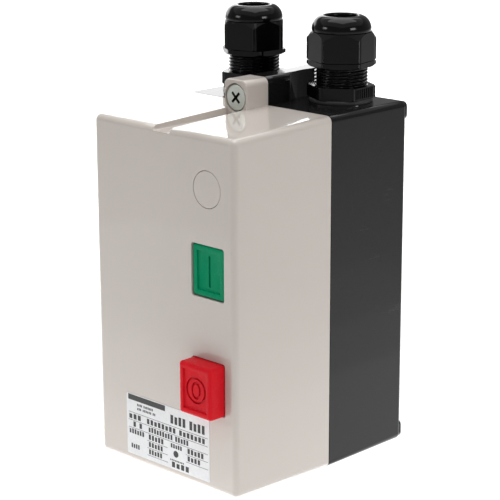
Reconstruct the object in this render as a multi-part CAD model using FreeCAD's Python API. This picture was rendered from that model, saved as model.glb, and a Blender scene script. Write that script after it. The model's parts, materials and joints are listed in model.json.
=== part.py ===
import FreeCAD, Part
import math
import os

# Magnetic motor starter in a two-part plastic enclosure, millimetres.
# +Z is up, the front looks along -Y, and +X is to the right of someone facing it.
# The origin is on the wall plane behind the rear pads, at the middle of the box.

os.makedirs("parts", exist_ok=True)

V = FreeCAD.Vector

# Enclosure
WIDTH = 94.0
HEIGHT = 170.0
BASE_DEPTH = 53.0
COVER_DEPTH = 62.0
PAD = 1.0
EDGE_R = 3.0
BASE_WALL = 3.0
COVER_WALL = 2.6
SEAM_GAP = 0.4
DRAFT_SIDE = 1.1
DRAFT_TOP = 2.3
DRAFT_BOTTOM = 1.8

HALF_W = WIDTH / 2
HALF_H = HEIGHT / 2
BACK_Y = -PAD
SEAM_Y = BACK_Y - BASE_DEPTH
RIM_Y = SEAM_Y - SEAM_GAP
FRONT_Y = SEAM_Y - COVER_DEPTH
FLOOR_Y = BACK_Y - BASE_WALL
INNER_FRONT_Y = FRONT_Y + COVER_WALL
INNER_X = HALF_W - BASE_WALL
INNER_Z = HALF_H - BASE_WALL

# Tongue of the base inside the rebate of the cover, with the gasket between them
TONGUE = 1.3
TONGUE_DEPTH = 3.5
REBATE_Y = SEAM_Y - 5.0
REBATE_GAP = 0.3
TONGUE_CORNER = 1.4

# Cover screws, their bosses and the screwdriver channels that lead to them
BOSS_HALF = 7.3
BOSS_TOP = HALF_H + 13.1
BOSS_FRONT_Y = SEAM_Y - 14.8
SCREW_Z = HALF_H + 4.6
HEAD_R = 6.55
HEAD_BORE_R = 6.8
HEAD_IN = 0.3
HEAD_BACK_Y = BOSS_FRONT_Y + 8.0
HEAD_T = HEAD_BACK_Y - 0.05 - BOSS_FRONT_Y - HEAD_IN
SHANK_R = 2.4
CROSS_HALF = 3.6
CHANNEL_HALF = 5.5
CHANNEL_R = 0.8
BACKING_HALF = CHANNEL_HALF + 2.5
CHANNEL_FLOOR_TOP = HALF_H - 4.6
CHANNEL_FLOOR_BOTTOM = HALF_H - 2.9

# Cable glands, M25 nylon, in the top wall
GLAND_X = 28.3
GLAND_Y = -27.0
GLAND_AF = 28.3
THREAD_R = 12.5
COLLAR_TOP = HALF_H + 1.3
COLLAR_R = 15.3
WASHER_TOP = COLLAR_TOP + 2.0
WASHER_R = 15.0
LOCKNUT_TOP = WASHER_TOP + 5.9
FLANGE_Z = HALF_H + 18.0
FLANGE_TOP = FLANGE_Z + 2.5
CAP_HEX_TOP = HALF_H + 34.1
CAP_TOP = HALF_H + 41.5
SCOOP_R = 24.6
CABLE_R = 6.8
GLAND_CORNER = GLAND_AF / math.sqrt(3)
DOME_R = 14.0
DOME_ARC_R = 5.2
DOME_HOLE_R = 7.5
CAP_THREAD_R = 11.0
NECK_R = 10.7
NECK_TOP = 113.0
FINGER_R = 10.4
FINGER_TOP = 121.0
SEAT_R = 9.0
SLOT_HALF = 0.6
SEAL_Z = (107.0, 122.0)
CAP_TURN = {-1: -17.0, 1: -48.7}
BODY_TURN = {-1: -5.0, 1: -48.7}
NUT_TURN = {-1: -30.0, 1: -57.0}

# Wall screws in the four rear corners
CORNERS = ((-1, -1), (-1, 1), (1, -1), (1, 1))
WALL_X = 38.5
WALL_Z = 77.0
WALL_HOLE_R = 2.25
PAD_REACH = 13.4
PAD_INSET = 0.6
PAD_EYE_R = 5.5

# Bosses on the floor of the base, with brass thread inserts
BOSS_R = 4.8
INSERT_R = 2.8
INSERT_HOLE = 5.2
INSERT_SCREW_R = 1.96
COVER_INSERT_R = 3.6
EARTH_X = -34.0
EARTH_Y = -12.0
EARTH_Z = -62.0
EARTH_PLATE_Y = EARTH_Y - 1.6

# Front controls
CONTROL_X = 28.8
START_Z = 20.8
STOP_Z = -32.75
PLUG_Z = 58.6
PLUG_R = 8.4
PLUG_GAP = 0.25
START_SIZE = (20.0, 23.9)
STOP_SIZE = (20.4, 24.5)
STOP_OUT = 8.9
START_IN = 0.6
BUTTON_GAP = 0.4
BUTTON_R = 1.3
SEAL_BACK_Y = INNER_FRONT_Y + 1.2
BUTTON_BACK_Y = SEAL_BACK_Y + 1.5
STEM_R = 2.8
START_STEM_X = 34.7
STOP_STEM_X = 22.5
RETAINER_Y = (-101.6, -99.6)
RETAINER_SCREW_Z = (39.5, -6.0, -51.8)
POST_R = 3.5
PLASTIC_SCREW_R = 1.2
BUTTON_FLANGE = 2.3
RIM = {"start": 2.8, "stop": 2.8}
DISH = {"start": 0.7, "stop": 1.0}
STOP_FACE_Y = FRONT_Y - STOP_OUT
START_FACE_Y = FRONT_Y + START_IN
START_STEM_END = -89.6
STOP_STEM_END = -86.1

# Rating label on the front, x from and to, z from and to
LABEL = (-26.8, 29.2, -79.4, -49.0)

# Contactor
CX = 6.5
CZ = 34.0
CON_HALF_W = 22.5
CON_HALF_H = 40.0
CON_BACK_Y = -8.0
CON_SPLIT_Y = -44.0
CON_STEP_Y = -70.0
ARC_Y = -81.0
CON_FRONT_Y = -86.0
POLES = [CX + offset for offset in (-15.0, -5.0, 5.0, 15.0)]
POLE_HALF = 4.0
POLE_FLOOR_Y = -62.0
TERMINAL_DZ = 33.0
EAR = ((CX - 17.5, CZ + 35.0), (CX + 17.5, CZ - 35.0))
EAR_HALF = 6.0
CHAMBER_X = 19.5
CHAMBER_Z = 24.5
CHAMBER_REAR_Y = -11.0
CHAMBER_FRONT_Y = -60.0
UPPER_HALF_H = 20.0
TERMINAL_HOLE_R = 1.85
TERMINAL_END_Y = -55.0
STRIP_T = 1.5
LINK_T = 0.9
CORE_HALF_Z = 22.0
CORE_LEGS = ((-22, -15), (-5, 5), (15, 22))
CORE_MEET_Y = -30.0
BOBBIN_Y = (-42.4, -18.6)
CARRIER_Y = (-58.0, -54.05)
COLUMN_Y = -78.0
INDICATOR_Y = -85.6
BRIDGE_Y = (-70.8, -69.6)
CONTACT_SPRING_Y = -75.9
TIP_R = 2.2
CORE_GAP = 4.1
CORE_HALF_X = 7.0

# Start switch block on the right of the contactor
SW_X0 = CX + CON_HALF_W + 0.2
SW_X1 = SW_X0 + 11.0
SW_Z = (-4.0, 46.0)
SW_Y = (-84.0, -30.0)
SW_FLOOR_Y = -50.0
SW_FIXED_Y = (-60.8, -59.6)
SW_BRIDGE_Y = (-66.0, -65.0)
PLUNGER_TIP_Y = -89.5
PLUNGER_COLLAR_R = 3.8

# Overload relay under the contactor
RELAY_Z = (-70.0, -12.0)
RELAY_Y = (-78.0, -20.0)
RELAY_SHELF_Z = -50.0
RELAY_FRONT_Y = -82.0
RELAY_RIB_Z = (-62.0, -20.0)
LOAD_Z = -61.0
LOAD_STRIP_Y = -61.5
SLIDER_Z = (-47.5, -44.0)
SLIDER_Y = (-52.0, -49.5)
BIMETAL_Z = (-47.0, -21.0)
HEATER_Z = (-38.0, -27.0)
RESET_TIP_Y = -86.0
RESET_END_Y = -70.0
PHASES = POLES[:3]
DIAL_X = CX - 8.0
DIAL_Z = -30.0
DIAL_R = 6.9


def box(x0, x1, y0, y1, z0, z1):
    return Part.makeBox(x1 - x0, y1 - y0, z1 - z0, V(x0, y0, z0))


def cyl_y(x, z, y0, y1, r):
    return Part.makeCylinder(r, y1 - y0, V(x, y0, z), V(0, 1, 0))


def cyl_z(x, y, z0, z1, r):
    return Part.makeCylinder(r, z1 - z0, V(x, y, z0), V(0, 0, 1))


def tube_y(x, z, y0, y1, r_out, r_in):
    return cyl_y(x, z, y0, y1, r_out).cut(cyl_y(x, z, y0 - 1, y1 + 1, r_in))


def tube_z(x, y, z0, z1, r_out, r_in):
    return cyl_z(x, y, z0, z1, r_out).cut(cyl_z(x, y, z0 - 1, z1 + 1, r_in))


def round_edges(shape, radius, wanted):
    edges = [edge for edge in shape.Edges if wanted(edge)]
    return shape.makeFillet(radius, edges)


def runs_along(axis):
    def wanted(edge):
        return abs(getattr(edge.tangentAt(edge.FirstParameter), axis)) > 0.99
    return wanted


def lies_at_y(y):
    def wanted(edge):
        return all(abs(vertex.Point.y - y) < 0.01 for vertex in edge.Vertexes)
    return wanted


def block_y(x0, x1, y0, y1, z0, z1, r):
    """A box whose four edges along Y are rounded."""
    return round_edges(box(x0, x1, y0, y1, z0, z1), r, runs_along("y"))


def frame_y(half_x, half_z, wall, y0, y1, r, x=0.0, z=0.0):
    """A rounded rectangular ring around the Y direction."""
    outer = block_y(x - half_x, x + half_x, y0, y1, z - half_z, z + half_z, r)
    hx = half_x - wall
    hz = half_z - wall
    return outer.cut(block_y(x - hx, x + hx, y0 - 1, y1 + 1, z - hz, z + hz, max(r - wall, 0.4)))


def tapered_box(y0, rect0, y1, rect1):
    """A solid with flat faces from rect0 at y0 to rect1 at y1; a rect is x0, x1, z0, z1."""
    ax0, ax1, az0, az1 = rect0
    bx0, bx1, bz0, bz1 = rect1
    return Part.makeWedge(ax0, y0, az0, bz0, bx0, ax1, y1, az1, bz1, bx1)


def hexagon(x, y, z0, z1, across_flats, turn):
    """A hexagonal prism along Z with the normal of one flat at the angle turn."""
    r = across_flats / math.sqrt(3)
    points = []
    for i in range(7):
        angle = math.radians(turn + 30 + 60 * i)
        points.append(V(x + r * math.cos(angle), y + r * math.sin(angle), z0))
    return Part.Face(Part.makePolygon(points)).extrude(V(0, 0, z1 - z0))


def revolve_z(x, y, profile):
    """Turn a closed outline about the vertical through x, y.

    The outline is a list of (radius, z) points. A point marked "arc" lies half-way along an arc
    between its two neighbours.
    """
    points = [V(x + point[0], y, point[1]) for point in profile]
    on_arc = [len(point) == 3 for point in profile]
    edges = []
    for i in range(len(points)):
        j = (i + 1) % len(points)
        if on_arc[i]:
            edges.append(Part.Arc(points[i - 1], points[i], points[j]).toShape())
        elif not on_arc[j]:
            edges.append(Part.LineSegment(points[i], points[j]).toShape())
    face = Part.Face(Part.Wire(edges))
    return face.revolve(V(x, y, 0), V(0, 0, 1), 360)


def mirror_z(shape):
    return shape.mirror(V(0, 0, 0), V(0, 0, 1))


def save(name, *pieces):
    shape = pieces[0] if len(pieces) == 1 else Part.makeCompound(list(pieces))
    for solid in shape.Solids:
        if not solid.isValid() or solid.Volume <= 0:
            print("check", name, solid.isValid(), solid.Volume)
    print(name, len(shape.Solids), "solid(s)", round(shape.Volume, 1), "mm3")
    shape.exportStep("parts/" + name + ".step")


# ---------------------------------------------------------------- base

def screw_rib(rear_y):
    """Block on the outside of the base that holds the cover screw's thread insert."""
    rib = box(-BOSS_HALF, BOSS_HALF, SEAM_Y, rear_y, INNER_Z + 0.5, BOSS_TOP)
    rib = round_edges(rib, EDGE_R, lambda edge: runs_along("y")(edge)
                      and edge.Vertexes[0].Point.z > BOSS_TOP - 0.1)
    return rib.cut(cyl_y(0, SCREW_Z, SEAM_Y - 1, SEAM_Y + 13, COVER_INSERT_R))


def device_bosses():
    bosses = [cyl_y(x, z, y, FLOOR_Y + 0.5, BOSS_R) for x, z, y in insert_places()]
    for z in RELAY_RIB_Z:
        bosses.append(box(CX - 12, CX + 12, RELAY_Y[1] + 0.1, FLOOR_Y + 0.5, z, z + 2))
    return bosses


def insert_places():
    return [(x, z, CON_BACK_Y) for x, z in EAR] + [(EARTH_X, EARTH_Z, EARTH_Y)]


def rear_pads():
    """Low pads round the wall screw holes, which stand the box off the wall."""
    outer_x = HALF_W - PAD_INSET
    outer_z = HALF_H - PAD_INSET
    corner = block_y(outer_x - PAD_REACH, outer_x, BACK_Y - 1, 0, outer_z - 8.6, outer_z, 2.4)
    corner = corner.fuse(cyl_y(WALL_X, WALL_Z, BACK_Y - 1, 0, PAD_EYE_R))
    pads = []
    for sx, sz in CORNERS:
        pad = corner.copy()
        if sx < 0:
            pad = pad.mirror(V(0, 0, 0), V(1, 0, 0))
        if sz < 0:
            pad = mirror_z(pad)
        pads.append(pad)
    return pads


def base_shell():
    shell = block_y(-HALF_W, HALF_W, SEAM_Y, BACK_Y, -HALF_H, HALF_H, EDGE_R)
    shell = round_edges(shell, 2.0, lies_at_y(BACK_Y))
    tongue_x = INNER_X + TONGUE
    tongue_z = INNER_Z + TONGUE
    tongue = block_y(-tongue_x, tongue_x, SEAM_Y - TONGUE_DEPTH, SEAM_Y + 1, -tongue_z, tongue_z,
                     TONGUE_CORNER)
    top_rib = screw_rib(BACK_Y - 1)
    for side in (-1, 1):
        top_rib = top_rib.cut(cyl_z(side * GLAND_X, GLAND_Y, HALF_H, BOSS_TOP + 1, SCOOP_R))
    bottom_rib = mirror_z(screw_rib(SEAM_Y + 20))
    collars = [cyl_z(side * GLAND_X, GLAND_Y, HALF_H - 1, COLLAR_TOP, COLLAR_R) for side in (-1, 1)]
    shell = shell.fuse([tongue, top_rib, bottom_rib] + collars + rear_pads())
    cavity = block_y(-INNER_X, INNER_X, SEAM_Y - 10, FLOOR_Y, -INNER_Z, INNER_Z, 1.0)
    shell = shell.cut(cavity)
    shell = shell.fuse(device_bosses())
    holes = []
    for side in (-1, 1):
        holes.append(cyl_z(side * GLAND_X, GLAND_Y, INNER_Z - 1, COLLAR_TOP + 1, THREAD_R + 0.1))
    for sx, sz in CORNERS:
        holes.append(cyl_y(sx * WALL_X, sz * WALL_Z, FLOOR_Y - 1, 1, WALL_HOLE_R))
    for x, z, y in insert_places():
        holes.append(cyl_y(x, z, y - 1, y + INSERT_HOLE, INSERT_R))
    return shell.cut(holes).removeSplitter()


def thread_inserts():
    pieces = []
    for sz in (-1, 1):
        pieces.append(tube_y(0, sz * SCREW_Z, SEAM_Y + 0.1, SEAM_Y + 10, COVER_INSERT_R, SHANK_R + 0.06))
    for x, z, y in insert_places():
        pieces.append(tube_y(x, z, y + 0.1, y + INSERT_HOLE - 0.2, INSERT_R, 2.0))
    return pieces


def earth_terminal():
    """Angle plate on its boss, with the lug that takes the wire to the front."""
    x0 = EARTH_X - 6
    z0 = EARTH_Z - 6
    z1 = EARTH_Z + 6
    plate = box(x0, EARTH_X + 6, EARTH_PLATE_Y, EARTH_Y - 0.05, z0, z1)
    lug = box(x0, x0 + 1.5, EARTH_PLATE_Y - 8.4, EARTH_PLATE_Y, z0, z1)
    return plate.fuse(lug).cut(cyl_y(EARTH_X, EARTH_Z, EARTH_Y - 2, EARTH_Y + 1, 2.1)).removeSplitter()


def screw_y(x, z, seat_y, end_y, head_r, head_t, shank_r, cross, turn=0):
    """A screw whose head faces the front and sits at seat_y, with a cross recess turned by turn degrees."""
    front = seat_y - head_t
    head = round_edges(cyl_y(x, z, front, seat_y, head_r), min(head_t * 0.25, 0.6), lies_at_y(front))
    arm = min(0.14 * head_r + 0.15, 0.6)
    depth = min(0.45 * head_t, 2.5)
    for a, b in ((cross, arm), (arm, cross)):
        recess = box(x - a, x + a, front - 1, front + depth, z - b, z + b)
        recess.rotate(V(x, 0, z), V(0, 1, 0), turn)
        head = head.cut(recess)
    return head.fuse(cyl_y(x, z, seat_y - 0.1, end_y, shank_r)).removeSplitter()


# ---------------------------------------------------------------- glands

def gland_body(side):
    """Threaded sleeve with its collar, and the slotted neck that grips the seal."""
    x = side * GLAND_X
    top = FINGER_TOP + 1
    flange = hexagon(x, GLAND_Y, FLANGE_Z, FLANGE_TOP, GLAND_AF, BODY_TURN[side])
    envelope = revolve_z(x, GLAND_Y, [(0, FLANGE_Z), (GLAND_CORNER - 1.6, FLANGE_Z),
                                      (GLAND_CORNER, FLANGE_Z + 1.2), (GLAND_CORNER, FLANGE_TOP),
                                      (0, FLANGE_TOP)])
    flange = flange.common(envelope)
    shank = cyl_z(x, GLAND_Y, INNER_Z - 3, FLANGE_Z + 1, THREAD_R)
    neck = cyl_z(x, GLAND_Y, FLANGE_TOP - 1, NECK_TOP, NECK_R)
    fingers = cyl_z(x, GLAND_Y, NECK_TOP - 1, FINGER_TOP, FINGER_R)
    body = flange.fuse([shank, neck, fingers])
    body = body.cut(cyl_z(x, GLAND_Y, INNER_Z - 5, top, SEAT_R - 1))
    body = body.cut(cyl_z(x, GLAND_Y, SEAL_Z[0], top, SEAT_R))
    for i in range(4):
        slot = box(x - 12, x + 12, GLAND_Y - SLOT_HALF, GLAND_Y + SLOT_HALF, NECK_TOP + 1, top)
        slot.rotate(V(x, GLAND_Y, 0), V(0, 0, 1), 45 * i)
        body = body.cut(slot)
    return body.removeSplitter()


def gland_cap(side):
    """Domed compression nut: a hexagon with chamfered corners under a rounded dome."""
    x = side * GLAND_X
    bottom = FLANGE_TOP + 0.3
    envelope = revolve_z(x, GLAND_Y, [(0, bottom), (GLAND_CORNER - 0.6, bottom), (GLAND_CORNER, bottom + 0.6),
                                      (GLAND_CORNER, CAP_HEX_TOP - 2.0), (DOME_R, CAP_HEX_TOP),
                                      (0, CAP_HEX_TOP)])
    nut = hexagon(x, GLAND_Y, bottom, CAP_HEX_TOP, GLAND_AF, CAP_TURN[side]).common(envelope)
    shoulder = CAP_TOP - DOME_ARC_R
    lip_r = DOME_R - DOME_ARC_R
    middle = DOME_ARC_R * math.sqrt(0.5)
    outline = [(0, CAP_HEX_TOP - 1), (DOME_R, CAP_HEX_TOP - 1), (DOME_R, shoulder),
               (lip_r + middle, shoulder + middle, "arc"),
               (lip_r, CAP_TOP), (DOME_HOLE_R, CAP_TOP - 0.5), (0, CAP_TOP - 0.5)]
    nut = nut.fuse(revolve_z(x, GLAND_Y, outline))
    thread_top = FINGER_TOP + 0.8
    bore = revolve_z(x, GLAND_Y, [(0, bottom - 1), (CAP_THREAD_R, bottom - 1), (CAP_THREAD_R, thread_top),
                                  (DOME_HOLE_R, thread_top + 3), (DOME_HOLE_R, CAP_TOP + 1),
                                  (0, CAP_TOP + 1)])
    return nut.cut(bore).removeSplitter()


def gland_locknut(side):
    x = side * GLAND_X
    nut = hexagon(x, GLAND_Y, WASHER_TOP, LOCKNUT_TOP, GLAND_AF, NUT_TURN[side])
    face_r = GLAND_CORNER - 0.7
    envelope = revolve_z(x, GLAND_Y, [(0, WASHER_TOP), (face_r, WASHER_TOP), (GLAND_CORNER, WASHER_TOP + 0.5),
                                      (GLAND_CORNER, LOCKNUT_TOP - 0.5), (face_r, LOCKNUT_TOP),
                                      (0, LOCKNUT_TOP)])
    return nut.common(envelope).cut(cyl_z(x, GLAND_Y, WASHER_TOP - 1, LOCKNUT_TOP + 1, THREAD_R + 0.05))


# ---------------------------------------------------------------- cover

def cover_profile(inset):
    rim = (-HALF_W + inset, HALF_W - inset, -HALF_H + inset, HALF_H - inset)
    front = (-HALF_W + DRAFT_SIDE + inset, HALF_W - DRAFT_SIDE - inset,
             -HALF_H + DRAFT_BOTTOM + inset, HALF_H - DRAFT_TOP - inset)
    return rim, front


def cover_boss():
    boss = block_y(-BOSS_HALF, BOSS_HALF, BOSS_FRONT_Y, RIM_Y, INNER_Z - 4, BOSS_TOP, EDGE_R)
    return round_edges(boss, 0.8, lies_at_y(BOSS_FRONT_Y))


def screw_cuts(channel_floor):
    """Screwdriver channel, recess for the screw head and hole for its shank."""
    channel = block_y(-CHANNEL_HALF, CHANNEL_HALF, FRONT_Y - 1, BOSS_FRONT_Y, channel_floor, HALF_H + 8,
                      CHANNEL_R)
    recess = cyl_y(0, SCREW_Z, BOSS_FRONT_Y - 1, HEAD_BACK_Y, HEAD_BORE_R)
    return [channel, recess, cyl_y(0, SCREW_Z, HEAD_BACK_Y - 1, RIM_Y + 1, SHANK_R + 0.35)]


def control_opening(z, size, corner):
    hx = size[0] / 2 + BUTTON_GAP
    hz = size[1] / 2 + BUTTON_GAP
    return block_y(CONTROL_X - hx, CONTROL_X + hx, FRONT_Y - 1, INNER_FRONT_Y + 1, z - hz, z + hz, corner)


def cover_shell():
    rim, front = cover_profile(0)
    outer = tapered_box(FRONT_Y, front, RIM_Y, rim)
    outer = round_edges(outer, EDGE_R, lambda edge: not lies_at_y(RIM_Y)(edge))
    rim_in, front_in = cover_profile(COVER_WALL)
    inner = tapered_box(INNER_FRONT_Y, front_in, RIM_Y, rim_in)
    backing = box(-BACKING_HALF, BACKING_HALF, FRONT_Y, RIM_Y, INNER_Z - 4.4, HALF_H)
    backing = backing.fuse(mirror_z(backing)).common(outer)
    bosses = [cover_boss(), mirror_z(cover_boss())]
    posts = [cyl_y(CONTROL_X, z, INNER_FRONT_Y - 0.5, RETAINER_Y[0], POST_R) for z in RETAINER_SCREW_Z]
    shell = outer.cut(inner).fuse([backing] + bosses + posts)
    rebate_x = INNER_X + TONGUE + REBATE_GAP
    rebate_z = INNER_Z + TONGUE + REBATE_GAP
    cuts = [block_y(-rebate_x, rebate_x, REBATE_Y, RIM_Y + 1, -rebate_z, rebate_z,
                    TONGUE_CORNER + REBATE_GAP)]
    cuts += screw_cuts(CHANNEL_FLOOR_TOP) + [mirror_z(cut) for cut in screw_cuts(CHANNEL_FLOOR_BOTTOM)]
    cuts.append(control_opening(START_Z, START_SIZE, 1.3))
    cuts.append(control_opening(STOP_Z, STOP_SIZE, 1.4))
    cuts.append(cyl_y(CONTROL_X, PLUG_Z, FRONT_Y - 1, INNER_FRONT_Y + 1, PLUG_R + PLUG_GAP))
    for z in RETAINER_SCREW_Z:
        cuts.append(cyl_y(CONTROL_X, z, RETAINER_Y[0] - 9, RETAINER_Y[0] + 1, PLASTIC_SCREW_R))
    return shell.cut(cuts).removeSplitter()


def cover_gasket():
    half_x = INNER_X + TONGUE + 0.1
    half_z = INNER_Z + TONGUE + 0.1
    return frame_y(half_x, half_z, TONGUE - 0.2, REBATE_Y + 0.05, SEAM_Y - TONGUE_DEPTH - 0.05,
                   TONGUE_CORNER + 0.2)


def rating_label():
    x0, x1, z0, z1 = LABEL
    return block_y(x0, x1, FRONT_Y - 0.15, FRONT_Y, z0, z1, 0.8)


def blanking_plug():
    plug = cyl_y(CONTROL_X, PLUG_Z, FRONT_Y, INNER_FRONT_Y + 0.5, PLUG_R)
    plug = round_edges(plug, 0.25, lies_at_y(FRONT_Y))
    return plug.fuse(cyl_y(CONTROL_X, PLUG_Z, INNER_FRONT_Y + 0.05, INNER_FRONT_Y + 1.2, PLUG_R + 1.5))


def push_button(word, z, size, face_y, stem_x, stem_end_y):
    """Rectangular key with a dished face, a flange behind the cover and a stem to the rear."""
    hx = size[0] / 2
    hz = size[1] / 2
    cap = block_y(CONTROL_X - hx, CONTROL_X + hx, face_y, SEAL_BACK_Y + 0.5, z - hz, z + hz, BUTTON_R)
    cap = round_edges(cap, 0.9, lies_at_y(face_y))
    panel_x = hx - RIM[word]
    panel_z = hz - RIM[word]
    cap = cap.cut(block_y(CONTROL_X - panel_x, CONTROL_X + panel_x, face_y - 1, face_y + DISH[word],
                          z - panel_z, z + panel_z, 0.8))
    flange_x = hx + BUTTON_FLANGE
    flange_z = hz + BUTTON_FLANGE
    flange = block_y(CONTROL_X - flange_x, CONTROL_X + flange_x, SEAL_BACK_Y + 0.1, BUTTON_BACK_Y,
                     z - flange_z, z + flange_z, 2.0)
    stem = cyl_y(stem_x, z, BUTTON_BACK_Y - 0.5, stem_end_y, STEM_R)
    return cap.fuse([flange, stem])


def start_button():
    """Key just below the front face, marked with an upright groove."""
    button = push_button("start", START_Z, START_SIZE, START_FACE_Y, START_STEM_X, START_STEM_END)
    bar_y = START_FACE_Y + DISH["start"]
    bar = box(CONTROL_X - 0.7, CONTROL_X + 0.7, bar_y - 0.1, bar_y + 0.9, START_Z - 7.4, START_Z + 7.4)
    return button.cut(bar).removeSplitter()


def stop_button():
    """Key that stands well out of the front face, marked with a ring."""
    button = push_button("stop", STOP_Z, STOP_SIZE, STOP_FACE_Y, STOP_STEM_X, STOP_STEM_END)
    mark_y = STOP_FACE_Y + DISH["stop"]
    ring = tube_y(CONTROL_X, STOP_Z, mark_y - 0.1, mark_y + 0.6, 6.3, 5.0)
    return button.cut(ring).removeSplitter()


def button_retainer():
    plate = block_y(13.5, 42.3, RETAINER_Y[0], RETAINER_Y[1], -55.5, 43.5, 3.0)
    stems = ((START_STEM_X, START_Z), (STOP_STEM_X, STOP_Z))
    plate = plate.fuse([cyl_y(x, z, RETAINER_Y[1] - 0.5, -96.0, 4.6) for x, z in stems])
    holes = [cyl_y(x, z, RETAINER_Y[0] - 1, -95.0, STEM_R + 0.06) for x, z in stems]
    holes += [cyl_y(CONTROL_X, z, RETAINER_Y[0] - 1, RETAINER_Y[1] + 1, 1.7) for z in RETAINER_SCREW_Z]
    return plate.cut(holes).removeSplitter()


def retainer_screws():
    pieces = []
    for z in RETAINER_SCREW_Z:
        head = cyl_y(CONTROL_X, z, RETAINER_Y[1] + 0.05, RETAINER_Y[1] + 1.9, 2.8)
        slot = box(CONTROL_X - 3, CONTROL_X + 3, RETAINER_Y[1] + 1.1, RETAINER_Y[1] + 3, z - 0.4, z + 0.4)
        shank = cyl_y(CONTROL_X, z, RETAINER_Y[0] - 8, RETAINER_Y[1] + 0.1, PLASTIC_SCREW_R)
        pieces.append(head.cut(slot).fuse(shank))
    return pieces


# ---------------------------------------------------------------- contactor

def contactor_base():
    body = box(CX - CON_HALF_W, CX + CON_HALF_W, CON_SPLIT_Y, CON_BACK_Y, CZ - CON_HALF_H, CZ + CON_HALF_H)
    body = round_edges(body, 1.0, runs_along("y"))
    cuts = [box(CX - CHAMBER_X, CX + CHAMBER_X, CON_SPLIT_Y - 1, CHAMBER_REAR_Y,
                CZ - CHAMBER_Z, CZ + CHAMBER_Z)]
    for (x, z), side in zip(EAR, (-1, 1)):
        cuts.append(box(x - EAR_HALF, x + EAR_HALF, CON_SPLIT_Y - 1, CON_BACK_Y - 5,
                        z - EAR_HALF, z + EAR_HALF))
        cuts.append(cyl_y(x, z, CON_BACK_Y - 6, CON_BACK_Y + 1, 2.2))
        vent_x = CX - side * 8
        for dz in (30, 34):
            vent_z = CZ - side * dz
            cuts.append(box(vent_x - 8, vent_x + 8, -40, -12, vent_z - 1, vent_z + 1))
    return body.cut(cuts).removeSplitter()


def magnet_core(plate_y0, plate_y1, legs_to_y):
    """E-shaped laminated core: a yoke with two outer legs and one centre leg."""
    x0 = CX - CORE_HALF_X
    x1 = CX + CORE_HALF_X
    core = box(x0, x1, plate_y0, plate_y1, CZ - CORE_HALF_Z, CZ + CORE_HALF_Z)
    y0 = min(plate_y0, legs_to_y)
    y1 = max(plate_y1, legs_to_y)
    legs = [box(x0, x1, y0, y1, CZ + low, CZ + high) for low, high in CORE_LEGS]
    return core.fuse(legs).removeSplitter()


def shading_rings():
    """Copper rings let into the ends of the fixed core's outer legs."""
    pieces = []
    half_x = CORE_HALF_X + 0.05
    half_z = 3.55
    for side in (-1, 1):
        z = CZ + side * 18.5
        ring = box(CX - half_x - 1, CX + half_x + 1, CORE_MEET_Y + 0.6, CORE_MEET_Y + 2, z - 4.5, z + 4.5)
        hole = box(CX - half_x, CX + half_x, CORE_MEET_Y, CORE_MEET_Y + 3, z - half_z, z + half_z)
        pieces.append(ring.cut(hole))
    return pieces


def coil_bobbin():
    rear_flange_y = BOBBIN_Y[1] - 1.2
    tube = block_y(CX - 9, CX + 9, BOBBIN_Y[0], BOBBIN_Y[1], CZ - 7, CZ + 7, 1.2)
    flanges = []
    for y in (BOBBIN_Y[0], rear_flange_y):
        flanges.append(block_y(CX - 15, CX + 15, y, y + 1.2, CZ - 13.6, CZ + 13.6, 2.0))
    bore = box(CX - 7.4, CX + 7.4, BOBBIN_Y[0] - 2, BOBBIN_Y[1] + 2, CZ - 5.4, CZ + 5.4)
    return tube.fuse(flanges).cut(bore).removeSplitter()


def coil_winding():
    """Copper wire wound between the flanges of the bobbin."""
    y0 = BOBBIN_Y[0] + 1.25
    y1 = BOBBIN_Y[1] - 1.25
    coil = block_y(CX - 14, CX + 14, y0, y1, CZ - 12.6, CZ + 12.6, 4.0)
    return coil.cut(block_y(CX - 9.1, CX + 9.1, y0 - 1, y1 + 1, CZ - 7.1, CZ + 7.1, 1.2))


def contactor_housing():
    """Upper half of the contactor, with a slot for each pole and the contact chamber."""
    x0 = CX - CON_HALF_W
    x1 = CX + CON_HALF_W
    lower = box(x0, x1, CON_STEP_Y, CON_SPLIT_Y - 0.1, CZ - CON_HALF_H, CZ + CON_HALF_H)
    upper = box(x0, x1, ARC_Y + 0.1, CON_STEP_Y + 1, CZ - UPPER_HALF_H, CZ + UPPER_HALF_H)
    body = round_edges(lower, 1.0, runs_along("y")).fuse(round_edges(upper, 1.0, runs_along("y")))
    cuts = [box(CX - CHAMBER_X, CX + CHAMBER_X, CHAMBER_FRONT_Y, CON_SPLIT_Y + 1,
                CZ - CHAMBER_Z, CZ + CHAMBER_Z)]
    cuts.append(box(CX - CHAMBER_X - 0.1, CX + CHAMBER_X + 0.1, ARC_Y - 1, CHAMBER_FRONT_Y + 1,
                    CZ - 4.6, CZ + 4.6))
    for x in POLES:
        for side in (-1, 1):
            z0, z1 = sorted((CZ + side * 22, CZ + side * (CON_HALF_H + 1)))
            cuts.append(box(x - POLE_HALF, x + POLE_HALF, CON_STEP_Y - 1, POLE_FLOOR_Y, z0, z1))
            cuts.append(cyl_y(x, CZ + side * TERMINAL_DZ, POLE_FLOOR_Y - 1, TERMINAL_END_Y, TERMINAL_HOLE_R))
        cuts.append(box(x - POLE_HALF, x + POLE_HALF, ARC_Y - 1, POLE_FLOOR_Y, CZ - 18, CZ + 18))
        cuts.append(box(x - 3, x + 3, POLE_FLOOR_Y - 4, POLE_FLOOR_Y, CZ - 23, CZ + 23))
    return body.cut(cuts).removeSplitter()


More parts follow.
